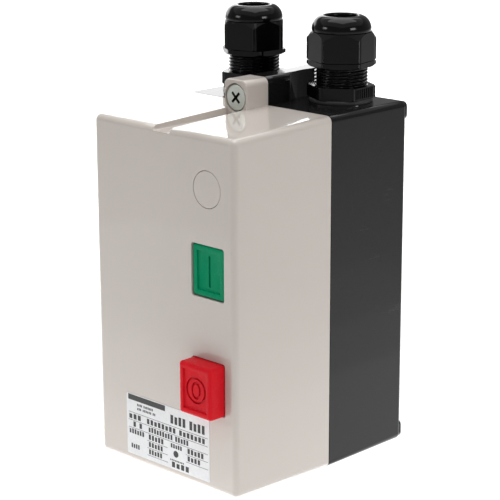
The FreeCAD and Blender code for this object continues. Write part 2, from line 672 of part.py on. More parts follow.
def fixed_contacts():
    """Copper strips from each terminal to the fixed contact tip, line side above, load side below."""
    pieces = []
    for side in (-1, 1):
        for x in POLES:
            z0, z1 = sorted((CZ + side * 8, CZ + side * 38))
            strip = box(x - 2.6, x + 2.6, POLE_FLOOR_Y - STRIP_T, POLE_FLOOR_Y - 0.02, z0, z1)
            hole_z = CZ + side * TERMINAL_DZ
            pieces.append(strip.cut(cyl_y(x, hole_z, POLE_FLOOR_Y - 2, POLE_FLOOR_Y + 1, TERMINAL_HOLE_R)))
    return pieces


def tips(y0, y1):
    pieces = []
    for side in (-1, 1):
        for x in POLES:
            pieces.append(cyl_y(x, CZ + side * 10.5, y0, y1, TIP_R))
    return pieces


def clamp_screw(x, z, seat_y, end_y):
    """Terminal screw with its square clamp washer, as two solids."""
    half = 3.4
    washer = box(x - half, x + half, seat_y - 0.8, seat_y - 0.02, z - half, z + half)
    washer = round_edges(washer, 0.6, runs_along("y"))
    washer = washer.cut(cyl_y(x, z, seat_y - 2, seat_y + 1, TERMINAL_HOLE_R))
    return [washer, screw_y(x, z, seat_y - 0.85, end_y, 3.0, 2.2, TERMINAL_HOLE_R - 0.15, 1.9)]


def terminal_screws():
    pieces = []
    strip_front = POLE_FLOOR_Y - STRIP_T
    screw_end = TERMINAL_END_Y - 1
    for x in POLES:
        link = LINK_T if x in PHASES else 0.0
        pieces += clamp_screw(x, CZ + TERMINAL_DZ, strip_front, screw_end)
        pieces += clamp_screw(x, CZ - TERMINAL_DZ, strip_front - link, screw_end)
    for x in PHASES:
        pieces += clamp_screw(x, LOAD_Z, LOAD_STRIP_Y, LOAD_STRIP_Y + 7.5)
    return pieces


def arc_cover():
    cover = box(CX - CON_HALF_W, CX + CON_HALF_W, CON_FRONT_Y, ARC_Y, CZ - UPPER_HALF_H, CZ + UPPER_HALF_H)
    cover = round_edges(cover, 1.0, runs_along("y"))
    cover = round_edges(cover, 0.7, lies_at_y(CON_FRONT_Y))
    cuts = [box(CX - 5.5, CX + 5.5, CON_FRONT_Y - 1, ARC_Y + 1, CZ - 4.5, CZ + 4.5)]
    for side in (-1, 1):
        for i in range(4):
            z = CZ + side * (9 + 2.4 * i)
            cuts.append(box(CX - 14, CX + 14, CON_FRONT_Y - 1, CON_FRONT_Y + 0.8, z - 0.5, z + 0.5))
    return cover.cut(cuts)


def contact_carrier():
    """Sliding carrier: a plate on the moving core, a column with windows and a position indicator."""
    plate = box(CX - 17, CX + 17, CARRIER_Y[0], CARRIER_Y[1], CZ - 20, CZ + 20)
    column = box(CX - 19.2, CX + 19.2, COLUMN_Y, CARRIER_Y[0] + 0.5, CZ - 4.2, CZ + 4.2)
    indicator = box(CX - 5.1, CX + 5.1, INDICATOR_Y, COLUMN_Y + 0.5, CZ - 4.1, CZ + 4.1)
    indicator = round_edges(indicator, 0.8, lies_at_y(INDICATOR_Y))
    carrier = plate.fuse([column, indicator])
    windows = [box(x - 3, x + 3, -76, -69.5, CZ - 5, CZ + 5) for x in POLES]
    return carrier.cut(windows).removeSplitter()


def moving_contacts():
    return [box(x - 2.5, x + 2.5, BRIDGE_Y[0], BRIDGE_Y[1], CZ - 13, CZ + 13) for x in POLES]


def contact_springs():
    return [tube_y(x, CZ, CONTACT_SPRING_Y, BRIDGE_Y[0] - 0.1, 2.3, 1.7) for x in POLES]


def return_springs():
    springs = []
    for side in (-1, 1):
        springs.append(tube_y(CX + side * 12.5, CZ, CARRIER_Y[1] + 0.15, BOBBIN_Y[0] - 0.1, 2.4, 1.7))
    return springs


# ---------------------------------------------------------------- start switch

def start_switch_body():
    body = box(SW_X0, SW_X1, SW_Y[0], SW_Y[1], SW_Z[0], SW_Z[1])
    body = round_edges(body, 0.8, lies_at_y(SW_Y[0]))
    cuts = [box(SW_X0 + 1.5, SW_X1 + 1, SW_Y[0] + 2, SW_FLOOR_Y, START_Z - 17, START_Z + 17)]
    cuts.append(cyl_y(START_STEM_X, START_Z, SW_Y[0] - 1, SW_Y[0] + 3, STEM_R + 0.06))
    for side in (-1, 1):
        z = START_Z + side * 21.5
        cuts.append(box(SW_X0 + 2, SW_X1 - 2, SW_Y[0] - 1, SW_Y[0] + 12, z - 2.6, z + 2.6))
    return body.cut(cuts).removeSplitter()


def start_switch_cover():
    cover = box(SW_X1 + 0.1, SW_X1 + 1.3, SW_Y[0], SW_Y[1], SW_Z[0], SW_Z[1])
    return round_edges(cover, 0.4, lies_at_y(SW_Y[0]))


def start_switch_contacts():
    pieces = []
    for side in (-1, 1):
        z0, z1 = sorted((START_Z + side * 5.5, START_Z + side * 16.9))
        pieces.append(box(START_STEM_X - 2.4, START_STEM_X + 2.4, SW_FIXED_Y[0], SW_FIXED_Y[1], z0, z1))
    return pieces


def start_plunger():
    rod = cyl_y(START_STEM_X, START_Z, PLUNGER_TIP_Y, SW_BRIDGE_Y[0] - 0.05, STEM_R)
    rod = round_edges(rod, 0.6, lies_at_y(PLUNGER_TIP_Y))
    collar_y = SW_Y[0] + 2.1
    return rod.fuse(cyl_y(START_STEM_X, START_Z, collar_y, collar_y + 1.5, PLUNGER_COLLAR_R))


def start_bridge():
    x0 = START_STEM_X - 2.2
    x1 = START_STEM_X + 2.2
    return box(x0, x1, SW_BRIDGE_Y[0], SW_BRIDGE_Y[1], START_Z - 10, START_Z + 10)


# ---------------------------------------------------------------- overload relay

def relay_housing():
    """Box open to the front, with slots for the load terminals below its shelf."""
    x0 = CX - CON_HALF_W
    x1 = CX + CON_HALF_W
    front = RELAY_Y[0] - 1
    slot_top = RELAY_SHELF_Z - 3
    body = box(x0, x1, RELAY_Y[0], RELAY_Y[1], RELAY_Z[0], RELAY_Z[1])
    body = round_edges(body, 1.0, runs_along("y"))
    cuts = [box(x0 + 2.5, x1 - 2.5, front, RELAY_Y[1] - 3, RELAY_SHELF_Z, RELAY_Z[1] - 2.5)]
    for x in PHASES:
        cuts.append(box(x - POLE_HALF, x + POLE_HALF, front, -60, RELAY_Z[0] - 1, slot_top))
        cuts.append(box(x - 2.8, x + 2.8, LOAD_STRIP_Y - 0.1, -59.9, slot_top - 1, RELAY_SHELF_Z + 1))
        cuts.append(cyl_y(x, LOAD_Z, -61, -53, TERMINAL_HOLE_R))
        cuts.append(box(x - 2.6, x + 2.6, -65, -62.8, RELAY_Z[1] - 3, RELAY_Z[1] + 1))
    cuts.append(box(POLES[3] - POLE_HALF, POLES[3] + POLE_HALF, front, -66, RELAY_Z[0] - 1, slot_top))
    return body.cut(cuts).removeSplitter()


def relay_cover():
    x0 = CX - CON_HALF_W
    x1 = CX + CON_HALF_W
    cover = box(x0, x1, RELAY_FRONT_Y, RELAY_Y[0] - 0.1, RELAY_SHELF_Z - 1, RELAY_Z[1])
    cover = round_edges(cover, 1.0, runs_along("y"))
    cover = round_edges(cover, 0.7, lies_at_y(RELAY_FRONT_Y))
    cuts = [cyl_y(DIAL_X, DIAL_Z, RELAY_FRONT_Y - 1, RELAY_Y[0] + 1, DIAL_R + 0.3)]
    cuts.append(cyl_y(STOP_STEM_X, STOP_Z, RELAY_FRONT_Y - 1, RELAY_Y[0] + 1, STEM_R + 0.06))
    return cover.cut(cuts)


def relay_links():
    """Forked copper links from the contactor's load terminals into the relay."""
    pieces = []
    y0 = POLE_FLOOR_Y - STRIP_T - LINK_T + 0.05
    screw_z = CZ - TERMINAL_DZ
    for x in PHASES:
        link = box(x - 2.3, x + 2.3, y0, y0 + 0.8, RELAY_SHELF_Z + 26, screw_z + 3.5)
        fork = box(x - TERMINAL_HOLE_R, x + TERMINAL_HOLE_R, y0 - 1, y0 + 2, screw_z - TERMINAL_HOLE_R,
                   screw_z + 5)
        pieces.append(link.cut(fork))
    return pieces


def bimetal_strips():
    return [box(x - 0.6, x + 0.6, -60, -54, BIMETAL_Z[0], BIMETAL_Z[1]) for x in PHASES]


def heater_windings():
    pieces = []
    for x in PHASES:
        outer = box(x - 2.0, x + 2.0, -61.5, -52.5, HEATER_Z[0], HEATER_Z[1])
        pieces.append(outer.cut(box(x - 0.8, x + 0.8, -60.2, -53.8, HEATER_Z[0] - 1, HEATER_Z[1] + 1)))
    return pieces


def trip_slider():
    """Bar across the relay with a finger beside each bimetal strip."""
    bar = box(CX - 18, CX + 16, SLIDER_Y[0], SLIDER_Y[1], SLIDER_Z[0], SLIDER_Z[1])
    fingers = [box(x + 0.8, x + 2.4, -58, SLIDER_Y[1], SLIDER_Z[0], SLIDER_Z[1]) for x in PHASES]
    return bar.fuse(fingers).removeSplitter()


def relay_load_terminals():
    pieces = []
    for x in PHASES:
        strip = box(x - 2.6, x + 2.6, LOAD_STRIP_Y, -60.02, LOAD_Z - 5, RELAY_SHELF_Z + 3)
        pieces.append(strip.cut(cyl_y(x, LOAD_Z, -63, -59, TERMINAL_HOLE_R)))
    return pieces


def current_dial():
    """Setting dial with a screwdriver slot and a pointer notch."""
    front = RELAY_FRONT_Y - 1.2
    dial = cyl_y(DIAL_X, DIAL_Z, front, RELAY_Y[0] + 0.2, DIAL_R)
    dial = round_edges(dial, 0.5, lies_at_y(front))
    spindle = cyl_y(DIAL_X, DIAL_Z, RELAY_Y[0], RELAY_Y[0] + 10, 2.5)
    slot = box(DIAL_X - 4.6, DIAL_X + 4.6, front - 0.8, front + 1.8, DIAL_Z - 0.7, DIAL_Z + 0.7)
    notch = box(DIAL_X - 0.4, DIAL_X + 0.4, front - 0.8, front + 0.5, DIAL_Z + 4.4, DIAL_Z + 6.4)
    return dial.fuse(spindle).cut([slot, notch]).removeSplitter()


def reset_plunger():
    rod = cyl_y(STOP_STEM_X, STOP_Z, RESET_TIP_Y, RESET_END_Y, STEM_R)
    rod = round_edges(rod, 0.6, lies_at_y(RESET_TIP_Y))
    collar_y = RELAY_Y[0] + 0.1
    return rod.fuse(cyl_y(STOP_STEM_X, STOP_Z, collar_y, collar_y + 1.5, PLUNGER_COLLAR_R))


# ---------------------------------------------------------------- write every sub-part

save("base_shell", base_shell())
save("thread_inserts", *thread_inserts())
save("earth_terminal", earth_terminal())
save("earth_screw", screw_y(EARTH_X, EARTH_Z, EARTH_PLATE_Y - 0.05, EARTH_Y + 4, 3.4, 2.4,
                            INSERT_SCREW_R, 2.1))
for side, word in ((-1, "left"), (1, "right")):
    save("gland_body_" + word, gland_body(side))
    save("gland_cap_" + word, gland_cap(side))
save("gland_locknuts", *[gland_locknut(side) for side in (-1, 1)])
save("gland_washers", *[tube_z(side * GLAND_X, GLAND_Y, COLLAR_TOP, WASHER_TOP, WASHER_R, THREAD_R + 0.05)
                        for side in (-1, 1)])
save("gland_seals", *[tube_z(side * GLAND_X, GLAND_Y, SEAL_Z[0] + 0.05, SEAL_Z[1], SEAT_R - 0.05, CABLE_R)
                      for side in (-1, 1)])

save("cover_shell", cover_shell())
save("cover_gasket", cover_gasket())
cover_screw = screw_y(0, SCREW_Z, HEAD_BACK_Y - 0.05, SEAM_Y + 9.0, HEAD_R, HEAD_T, SHANK_R,
                      CROSS_HALF, 45)
save("cover_screw_top", cover_screw)
save("cover_screw_bottom", mirror_z(cover_screw))
save("rating_label", rating_label())
save("blanking_plug", blanking_plug())
save("start_button", start_button())
save("stop_button", stop_button())
for word, z, size in (("start", START_Z, START_SIZE), ("stop", STOP_Z, STOP_SIZE)):
    save(word + "_button_seal", frame_y(size[0] / 2 + 2.8, size[1] / 2 + 2.8, 2.2, INNER_FRONT_Y + 0.02,
                                        SEAL_BACK_Y, 3.0, CONTROL_X, z))
for word, x, z in (("start", START_STEM_X, START_Z), ("stop", STOP_STEM_X, STOP_Z)):
    save(word + "_button_spring", tube_y(x, z, BUTTON_BACK_Y + 0.05, RETAINER_Y[0] - 0.05, 4.4, 3.2))
save("button_retainer", button_retainer())
save("retainer_screws", *retainer_screws())

save("contactor_base", contactor_base())
save("contactor_screws", *[screw_y(x, z, CON_BACK_Y - 5.05, CON_BACK_Y + 4.5, 3.6, 2.6, INSERT_SCREW_R, 2.2)
                           for x, z in EAR])
save("fixed_core", magnet_core(BOBBIN_Y[1] + 0.1, CHAMBER_REAR_Y - 0.1, CORE_MEET_Y))
save("moving_core", magnet_core(CARRIER_Y[1] + 0.05, CARRIER_Y[1] + 7.05, CORE_MEET_Y - CORE_GAP))
save("shading_rings", *shading_rings())
save("coil_bobbin", coil_bobbin())
save("coil_winding", coil_winding())
save("contactor_housing", contactor_housing())
save("fixed_contacts", *fixed_contacts())
save("fixed_contact_tips", *tips(POLE_FLOOR_Y - STRIP_T - 1, POLE_FLOOR_Y - STRIP_T - 0.02))
save("terminal_screws", *terminal_screws())
save("arc_cover", arc_cover())
save("contact_carrier", contact_carrier())
save("moving_contacts", *moving_contacts())
save("moving_contact_tips", *tips(BRIDGE_Y[1] + 0.02, BRIDGE_Y[1] + 1))
save("contact_springs", *contact_springs())
save("return_springs", *return_springs())

save("start_switch_body", start_switch_body())
save("start_switch_cover", start_switch_cover())
save("start_switch_contacts", *start_switch_contacts())
save("start_plunger", start_plunger())
save("start_bridge", start_bridge())
save("start_switch_spring", tube_y(START_STEM_X, START_Z, SW_BRIDGE_Y[1] + 0.05, SW_FLOOR_Y - 0.05, 2.4, 1.7))

save("relay_housing", relay_housing())
save("relay_cover", relay_cover())
save("relay_links", *relay_links())
save("bimetal_strips", *bimetal_strips())
save("heater_windings", *heater_windings())
save("trip_slider", trip_slider())
save("relay_load_terminals", *relay_load_terminals())
save("current_dial", current_dial())
save("reset_plunger", reset_plunger())
save("reset_spring", tube_y(STOP_STEM_X, STOP_Z, RESET_END_Y + 0.05, RESET_END_Y + 12, 2.4, 1.7))
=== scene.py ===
import json
import math

import bmesh
import bpy
from mathutils import Matrix, Vector


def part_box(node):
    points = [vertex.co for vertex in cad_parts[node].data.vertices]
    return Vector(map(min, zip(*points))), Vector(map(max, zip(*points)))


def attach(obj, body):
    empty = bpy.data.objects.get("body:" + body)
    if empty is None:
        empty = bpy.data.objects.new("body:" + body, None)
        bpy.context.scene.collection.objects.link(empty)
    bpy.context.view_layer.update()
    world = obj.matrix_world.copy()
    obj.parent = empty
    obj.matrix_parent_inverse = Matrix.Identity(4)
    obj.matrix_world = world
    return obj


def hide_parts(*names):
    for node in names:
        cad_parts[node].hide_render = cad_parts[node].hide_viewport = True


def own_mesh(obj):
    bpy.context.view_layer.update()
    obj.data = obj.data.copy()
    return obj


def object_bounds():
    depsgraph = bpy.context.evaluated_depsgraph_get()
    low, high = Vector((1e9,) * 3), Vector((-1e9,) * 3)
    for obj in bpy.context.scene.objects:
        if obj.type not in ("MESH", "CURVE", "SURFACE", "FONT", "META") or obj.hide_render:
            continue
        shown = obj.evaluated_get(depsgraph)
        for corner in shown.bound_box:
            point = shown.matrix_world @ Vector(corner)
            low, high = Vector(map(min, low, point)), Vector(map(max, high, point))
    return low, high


# Looks of a magnetic motor starter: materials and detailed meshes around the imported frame.
# Lengths inside the functions are metres, as in the frame; MM turns millimetres into metres.

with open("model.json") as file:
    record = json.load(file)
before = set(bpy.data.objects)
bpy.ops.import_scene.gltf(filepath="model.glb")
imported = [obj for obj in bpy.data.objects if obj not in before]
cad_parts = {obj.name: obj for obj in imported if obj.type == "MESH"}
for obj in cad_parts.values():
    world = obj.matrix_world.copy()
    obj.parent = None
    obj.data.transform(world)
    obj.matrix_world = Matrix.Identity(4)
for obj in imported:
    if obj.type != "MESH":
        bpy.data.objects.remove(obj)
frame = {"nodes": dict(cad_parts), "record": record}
CAD_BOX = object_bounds()
NODES = frame["nodes"]
MM = 0.001

# ------------------------------------------------------------------ material tools


class Finish:
    """A Principled material with short helpers for procedural detail in object coordinates."""

    def __init__(self, name):
        self.material = bpy.data.materials.new(name)
        self.material.use_nodes = True
        self.tree = self.material.node_tree
        self.shader = self.tree.nodes["Principled BSDF"]
        self.place = self.tree.nodes.new("ShaderNodeTexCoord").outputs["Object"]
        self.height = None
        self.colour = None

    def node(self, kind, **settings):
        made = self.tree.nodes.new("ShaderNode" + kind)
        for key, value in settings.items():
            setattr(made, key, value)
        return made

    def feed(self, socket, value):
        if hasattr(value, "is_output"):
            self.tree.links.new(value, socket)
        else:
            socket.default_value = value

    def stretched(self, scale, turn=(0, 0, 0)):
        mapping = self.node("Mapping")
        self.feed(mapping.inputs["Vector"], self.place)
        mapping.inputs["Scale"].default_value = scale
        mapping.inputs["Rotation"].default_value = turn
        return mapping.outputs["Vector"]

    def noise(self, per_metre, detail=3.0, rough=0.5, warp=0.0, where=None):
        made = self.node("TexNoise")
        self.feed(made.inputs["Vector"], where or self.place)
        made.inputs["Scale"].default_value = per_metre
        made.inputs["Detail"].default_value = detail
        made.inputs["Roughness"].default_value = rough
        made.inputs["Distortion"].default_value = warp
        return made.outputs["Fac"]

    def spread(self, value, low, high, start=0.3, end=0.7):
        """value from start to end becomes low to high."""
        made = self.node("MapRange", clamp=True)
        self.feed(made.inputs["Value"], value)
        made.inputs["From Min"].default_value = start
        made.inputs["From Max"].default_value = end
        made.inputs["To Min"].default_value = low
        made.inputs["To Max"].default_value = high
        return made.outputs["Result"]

    def blend(self, amount, first, second):
        made = self.node("Mix", data_type="RGBA")
        self.feed(made.inputs["Factor"], amount)
        self.feed(made.inputs["A"], first)
        self.feed(made.inputs["B"], second)
        return made.outputs["Result"]

    def sum_of(self, first, second, operation="ADD"):
        made = self.node("Math", operation=operation)
        self.feed(made.inputs[0], first)
        self.feed(made.inputs[1], second)
        return made.outputs["Value"]

    def bump(self, height, depth, strength=1.0):
        """Adds relief of that depth in metres on top of what is there."""
        made = self.node("Bump")
        made.inputs["Strength"].default_value = strength
        made.inputs["Distance"].default_value = depth
        self.feed(made.inputs["Height"], height)
        if self.height is not None:
            self.feed(made.inputs["Normal"], self.height)
        self.height = made.outputs["Normal"]
        self.feed(self.shader.inputs["Normal"], self.height)

    def set(self, **values):
        names = {"colour": "Base Color", "rough": "Roughness", "metal": "Metallic", "ior": "IOR",
                 "specular": "Specular IOR Level", "coat": "Coat Weight", "coat_rough": "Coat Roughness",
                 "coat_ior": "Coat IOR"}
        for key, value in values.items():
            self.feed(self.shader.inputs[names[key]], value)


def tone(r, g, b):
    """A colour given as 0 to 255 display values, turned to linear light."""
    def linear(c):
        c /= 255
        return c / 12.92 if c <= 0.04045 else ((c + 0.055) / 1.055) ** 2.4
    return (linear(r), linear(g), linear(b), 1.0)


def moulded(name, colour, shade, rough, grain_depth=0.00001, grain=2200, cloud=9.0, rough_spread=0.05):
    """Injection-moulded plastic: faint flow clouds in the colour, fine grain, uneven gloss."""
    f = Finish(name)
    clouds = f.noise(cloud, 4, 0.55, 0.4)
    f.colour = f.blend(f.spread(clouds, 0.0, 1.0), colour, shade)
    f.set(colour=f.colour)
    wear = f.noise(cloud * 7, 5, 0.6)
    f.set(rough=f.spread(wear, rough - rough_spread, rough + rough_spread))
    f.bump(f.noise(grain, 2, 0.6), grain_depth, 0.6)
    return f


def scratches(f, per_metre, angle, share):
    """Fine straight scuffs: long thin noise, cut so that only its peaks stay."""
    where = f.stretched((per_metre * 0.08, per_metre * 0.08, per_metre), (angle, angle * 0.5, 0))
    lines = f.noise(1.0, 2, 0.5, 0.0, where)
    patches = f.noise(22, 3, 0.6)
    peaks = f.spread(lines, 0.0, 1.0, 1 - share - 0.03, 1 - share)
    return f.sum_of(peaks, f.spread(patches, 0.0, 1.0, 0.5, 0.62), "MULTIPLY")


# ------------------------------------------------------------------ materials by slot


def cover_plastic():
    f = moulded("cover_abs", tone(197, 189, 182), tone(193, 185, 178), 0.42, 0.000002, 900, 6, 0.03)
    f.bump(f.noise(11, 2, 0.4), 0.00005, 0.3)
    f.set(ior=1.5, specular=0.2, coat=1.0, coat_rough=0.035)
    return f.material


def base_plastic():
    f = moulded("base_abs_black", tone(20, 20, 21), tone(25, 25, 26), 0.4, 0.000008, 1800, 12, 0.05)
    marks = scratches(f, 420, 0.4, 0.30)
    dust = f.spread(f.noise(900, 2, 0.7), 0.0, 0.35, 0.66, 0.72)
    worn = f.sum_of(f.sum_of(marks, 0.14, "MULTIPLY"), f.sum_of(dust, 0.2, "MULTIPLY"), "ADD")
    f.set(colour=f.blend(worn, f.colour, tone(95, 94, 92)))
    f.set(specular=0.0, coat=1.0, coat_rough=0.1, coat_ior=1.36)
    f.bump(marks, 0.00001, 0.3)
    return f.material


def gland_nylon():
    f = moulded("gland_nylon_black", tone(6, 6, 7), tone(9, 9, 10), 0.13, 0.000004, 1500, 18, 0.04)
    f.set(ior=1.5, specular=0.22)
    return f.material


def rubber(name, colour, shade):
    return moulded(name, colour, shade, 0.62, 0.00003, 2600, 30, 0.08).material


def button_plastic(name, colour, shade):
    f = moulded(name, colour, shade, 0.26, 0.000004, 1600, 30, 0.04)
    f.set(ior=1.46, specular=0.08)
    return f.material


def metal(name, colour, shade, rough, streak=(600, 600, 60), share=1.0):
    """Formed or turned metal: streaks along one way in colour and gloss."""
    f = Finish(name)
    streaks = f.noise(1.0, 4, 0.6, 0.0, f.stretched(streak))
    clouds = f.noise(60, 4, 0.6)
    f.set(colour=f.blend(f.spread(clouds, 0.0, 1.0), colour, shade), metal=share)
    f.set(rough=f.spread(streaks, rough - 0.08, rough + 0.1))
    f.bump(streaks, 0.00002, 0.4)
    return f.material


def label_film():
    f = Finish("label_film")
    fibres = f.noise(700, 4, 0.6)
    f.set(colour=f.blend(f.spread(fibres, 0.0, 1.0), tone(226, 227, 228), tone(217, 218, 220)))
    f.set(rough=f.spread(f.noise(90, 3, 0.5), 0.3, 0.42), ior=1.48)
    f.bump(f.noise(120, 2, 0.5), 0.00005, 0.3)
    return f.material


def slot_materials():
    return {
        "base_plastic": base_plastic(),
        "cover_plastic": cover_plastic(),
        "screw_metal": metal("screw_zinc", tone(218, 225, 218), tone(204, 211, 204), 0.4,
                             (500, 90, 500), 0.6),
        "gland_nylon": gland_nylon(),
        "gland_rubber": rubber("gland_rubber", tone(30, 30, 31), tone(38, 38, 38)),
        "green_plastic": button_plastic("green_key", tone(0, 142, 98), tone(0, 132, 91)),
        "red_plastic": button_plastic("red_key", tone(214, 28, 40), tone(203, 23, 35)),
        "label_film": label_film(),
        "seal_rubber": rubber("seal_rubber", tone(44, 44, 45), tone(56, 55, 54)),
        "spring_steel": metal("spring_steel", tone(190, 190, 192), tone(160, 160, 164), 0.28,
                              (90, 90, 700)),
        "retainer_plastic": moulded("retainer_plastic", tone(206, 204, 198), tone(196, 193, 187),
                                    0.42).material,
        "device_plastic": moulded("device_plastic", tone(58, 60, 63), tone(50, 52, 55),
                                  0.45, 0.00002).material,
        "device_cover_plastic": moulded("device_cover_plastic", tone(188, 190, 188), tone(178, 180, 178),
                                        0.4, 0.00002).material,
        "carrier_plastic": moulded("carrier_plastic", tone(30, 32, 36), tone(38, 40, 44),
                                   0.4, 0.00002).material,
        "core_steel": metal("core_steel", tone(142, 142, 146), tone(112, 112, 118), 0.42, (200, 200, 1600)),
        "copper": metal("copper", tone(206, 128, 92), tone(184, 106, 74), 0.34),
        "silver": metal("silver_tip", tone(226, 224, 218), tone(206, 202, 194), 0.3),
        "brass": metal("brass", tone(206, 176, 104), tone(186, 154, 84), 0.3),
        "bimetal": metal("bimetal", tone(168, 158, 146), tone(148, 136, 122), 0.36),
        "dial_plastic": moulded("dial_white", tone(228, 226, 216), tone(218, 215, 204), 0.36).material,
        "reset_plastic": moulded("reset_blue", tone(38, 84, 168), tone(30, 72, 150), 0.35).material,
    }


MATERIALS = slot_materials()
SLOT_OF = {part["node"]: part["material_slot"] for part in frame["record"]["subparts"]}


def smooth_by_angle(obj, degrees=30):
    for polygon in obj.data.polygons:
        polygon.use_smooth = True
    obj.data.set_sharp_from_angle(angle=math.radians(degrees))


def finish_cad_nodes():
    for name, obj in NODES.items():
        obj.data.materials.clear()
        obj.data.materials.append(MATERIALS[SLOT_OF[name]])


finish_cad_nodes()


# ------------------------------------------------------------------ mesh tools


def piece(name, bm, body, slot, replaces=(), sharp=32):
    """Turns bmesh geometry into a piece that rides a body and takes a slot's material."""
    bmesh.ops.remove_doubles(bm, verts=bm.verts[:], dist=1e-7)
    bmesh.ops.recalc_face_normals(bm, faces=bm.faces[:])
    mesh = bpy.data.meshes.new(name)
    bm.to_mesh(mesh)
    bm.free()
    obj = bpy.data.objects.new(name, mesh)
    bpy.context.scene.collection.objects.link(obj)
    obj.data.materials.append(MATERIALS[slot])
    smooth_by_angle(obj, sharp)
    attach(obj, body)
    if replaces:
        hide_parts(*replaces)
    return obj


def skin(bm, loops, ring=False):
    """Faces between loops that have the same number of points; ring joins the last to the first."""
    rows = [[bm.verts.new(point) for point in loop] for loop in loops]
    count = len(rows[0])
    following = rows[1:] + (rows[:1] if ring else [])
    for first, second in zip(rows, following):
        for i in range(count):
            j = (i + 1) % count
            bm.faces.new((first[i], first[j], second[j], second[i]))
    if not ring:
        bm.faces.new(rows[0])
        bm.faces.new(rows[-1])
    return rows


def rounded_outline(x0, x1, z0, z1, radius, steps=5):
    """Points (x, z) round a rectangle with arcs at its corners."""
    points = []
    for x, z, start in ((x1 - radius, z0 + radius, -90), (x1 - radius, z1 - radius, 0),
                        (x0 + radius, z1 - radius, 90), (x0 + radius, z0 + radius, 180)):
        for i in range(steps + 1):
            angle = math.radians(start + 90 * i / steps)
            points.append((x + radius * math.cos(angle), z + radius * math.sin(angle)))
    return points


def rounded_loop(y, x, z, half_x, half_z, radius, inset=0.0):
    """A rounded rectangle in a plane of constant y, about the point x, z."""
    radius = max(radius - inset, 0.05 * MM)
    half_x -= inset
    half_z -= inset
    outline = rounded_outline(x - half_x, x + half_x, z - half_z, z + half_z, radius)
    return [Vector((px, y, pz)) for px, pz in outline]


def circle_y(y, x, z, radius, count=48):
    turns = [2 * math.pi * i / count for i in range(count)]
    return [Vector((x + radius * math.cos(a), y, z + radius * math.sin(a))) for a in turns]


def box_into(bm, low, high):
    """Adds a plain box to bm, for printed marks, small ribs and cutting tools."""
    made = bmesh.ops.create_cube(bm, size=1)["verts"]
    size = Vector(high) - Vector(low)
    middle = (Vector(high) + Vector(low)) / 2
    bmesh.ops.scale(bm, vec=size, verts=made)
    bmesh.ops.translate(bm, vec=middle, verts=made)
    return made


def carve(obj, bm, operation="DIFFERENCE"):
    """Cuts bm out of obj, or joins it to obj, with an exact boolean."""
    bmesh.ops.recalc_face_normals(bm, faces=bm.faces[:])
    mesh = bpy.data.meshes.new("carving_tool")
    bm.to_mesh(mesh)
    bm.free()
    tool = bpy.data.objects.new("carving_tool", mesh)
    bpy.context.scene.collection.objects.link(tool)
    modifier = obj.modifiers.new("carve", "BOOLEAN")
    modifier.operation = operation
    modifier.object = tool
    modifier.solver = "EXACT"
    graph = bpy.context.evaluated_depsgraph_get()
    result = bpy.data.meshes.new_from_object(obj.evaluated_get(graph))
    obj.modifiers.remove(modifier)
    obj.data = result
    bpy.data.objects.remove(tool)


def middle_of(node):
    low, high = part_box(node)
    return (low + high) / 2


# ------------------------------------------------------------------ cable glands

GLAND_SIDES = 144
ACROSS_FLATS = 28.3 * MM
CORNER_R = ACROSS_FLATS / math.sqrt(3)
CORNER_ROUND = 0.7 * MM
CAP_TURN = {"left": -17.0, "right": -48.7}
BODY_TURN = {"left": -5.0, "right": -48.7}
NUT_TURN = {"left": -30.0, "right": -57.0}
RIBBED_FLATS = {"left": (0, 120, 240), "right": (60, 180, 300)}
THREAD_PITCH = 1.6 * MM
THREAD_DEPTH = 0.85 * MM


def hex_radius(angle):
    """Distance from a hexagon's middle to its side, with rounded corners; flats face 0, 60, 120..."""
    flat = ACROSS_FLATS / 2
    from_flat = (angle + math.pi / 6) % (math.pi / 3) - math.pi / 6
    from_corner = math.pi / 6 - abs(from_flat)
    centre = (flat - CORNER_ROUND) / math.cos(math.pi / 6)
    reach = centre * math.sin(from_corner)
    on_side = flat / math.cos(from_flat)
    if reach >= CORNER_ROUND:
        return on_side
    on_arc = centre * math.cos(from_corner) + math.sqrt(CORNER_ROUND ** 2 - reach ** 2)
    return min(on_side, on_arc)


def hex_rings(z_low, z_high, low_r, low_rise, high_r, high_drop):
    """Radius and height, as functions of the angle, of a hexagon cut by a cone at either end."""
    def cone_low(angle):
        radius = hex_radius(angle)
        return radius, z_low + low_rise * max(0, radius - low_r) / max(CORNER_R - low_r, 1e-9)

    def cone_high(angle):
        radius = hex_radius(angle)
        return radius, z_high - high_drop * max(0, radius - high_r) / max(CORNER_R - high_r, 1e-9)

    return [lambda angle: (min(hex_radius(angle), low_r), z_low), cone_low, cone_high,
            lambda angle: (min(hex_radius(angle), high_r), z_high)]


def level(radius, z):
    return lambda angle: (radius, z)


def turned(bm, middle, turn, rings, axis="z", sides=GLAND_SIDES):
    """A closed surface round an axis from rings that give radius and height for each angle."""
    loops = []
    for ring in rings:
        loop = []
        for i in range(sides):
            angle = 2 * math.pi * i / sides
            radius, along = ring(angle)
            world = angle + math.radians(turn)
            across = radius * math.cos(world)
            other = radius * math.sin(world)
            if axis == "z":
                loop.append(Vector((middle.x + across, middle.y + other, along)))
            else:
                loop.append(Vector((middle.x + across, along, middle.z + other)))
        loops.append(loop)
    return skin(bm, loops, ring=True)


def dome_levels(base_r, base_z, top_r, top_z, steps):
    """Quarter of an ellipse from the widest level to the top opening."""
    rings = []
    for i in range(steps + 1):
        angle = math.pi / 2 * i / steps
        radius = top_r + (base_r - top_r) * math.cos(angle)
        rings.append(level(radius, base_z + (top_z - base_z) * math.sin(angle)))
    return rings


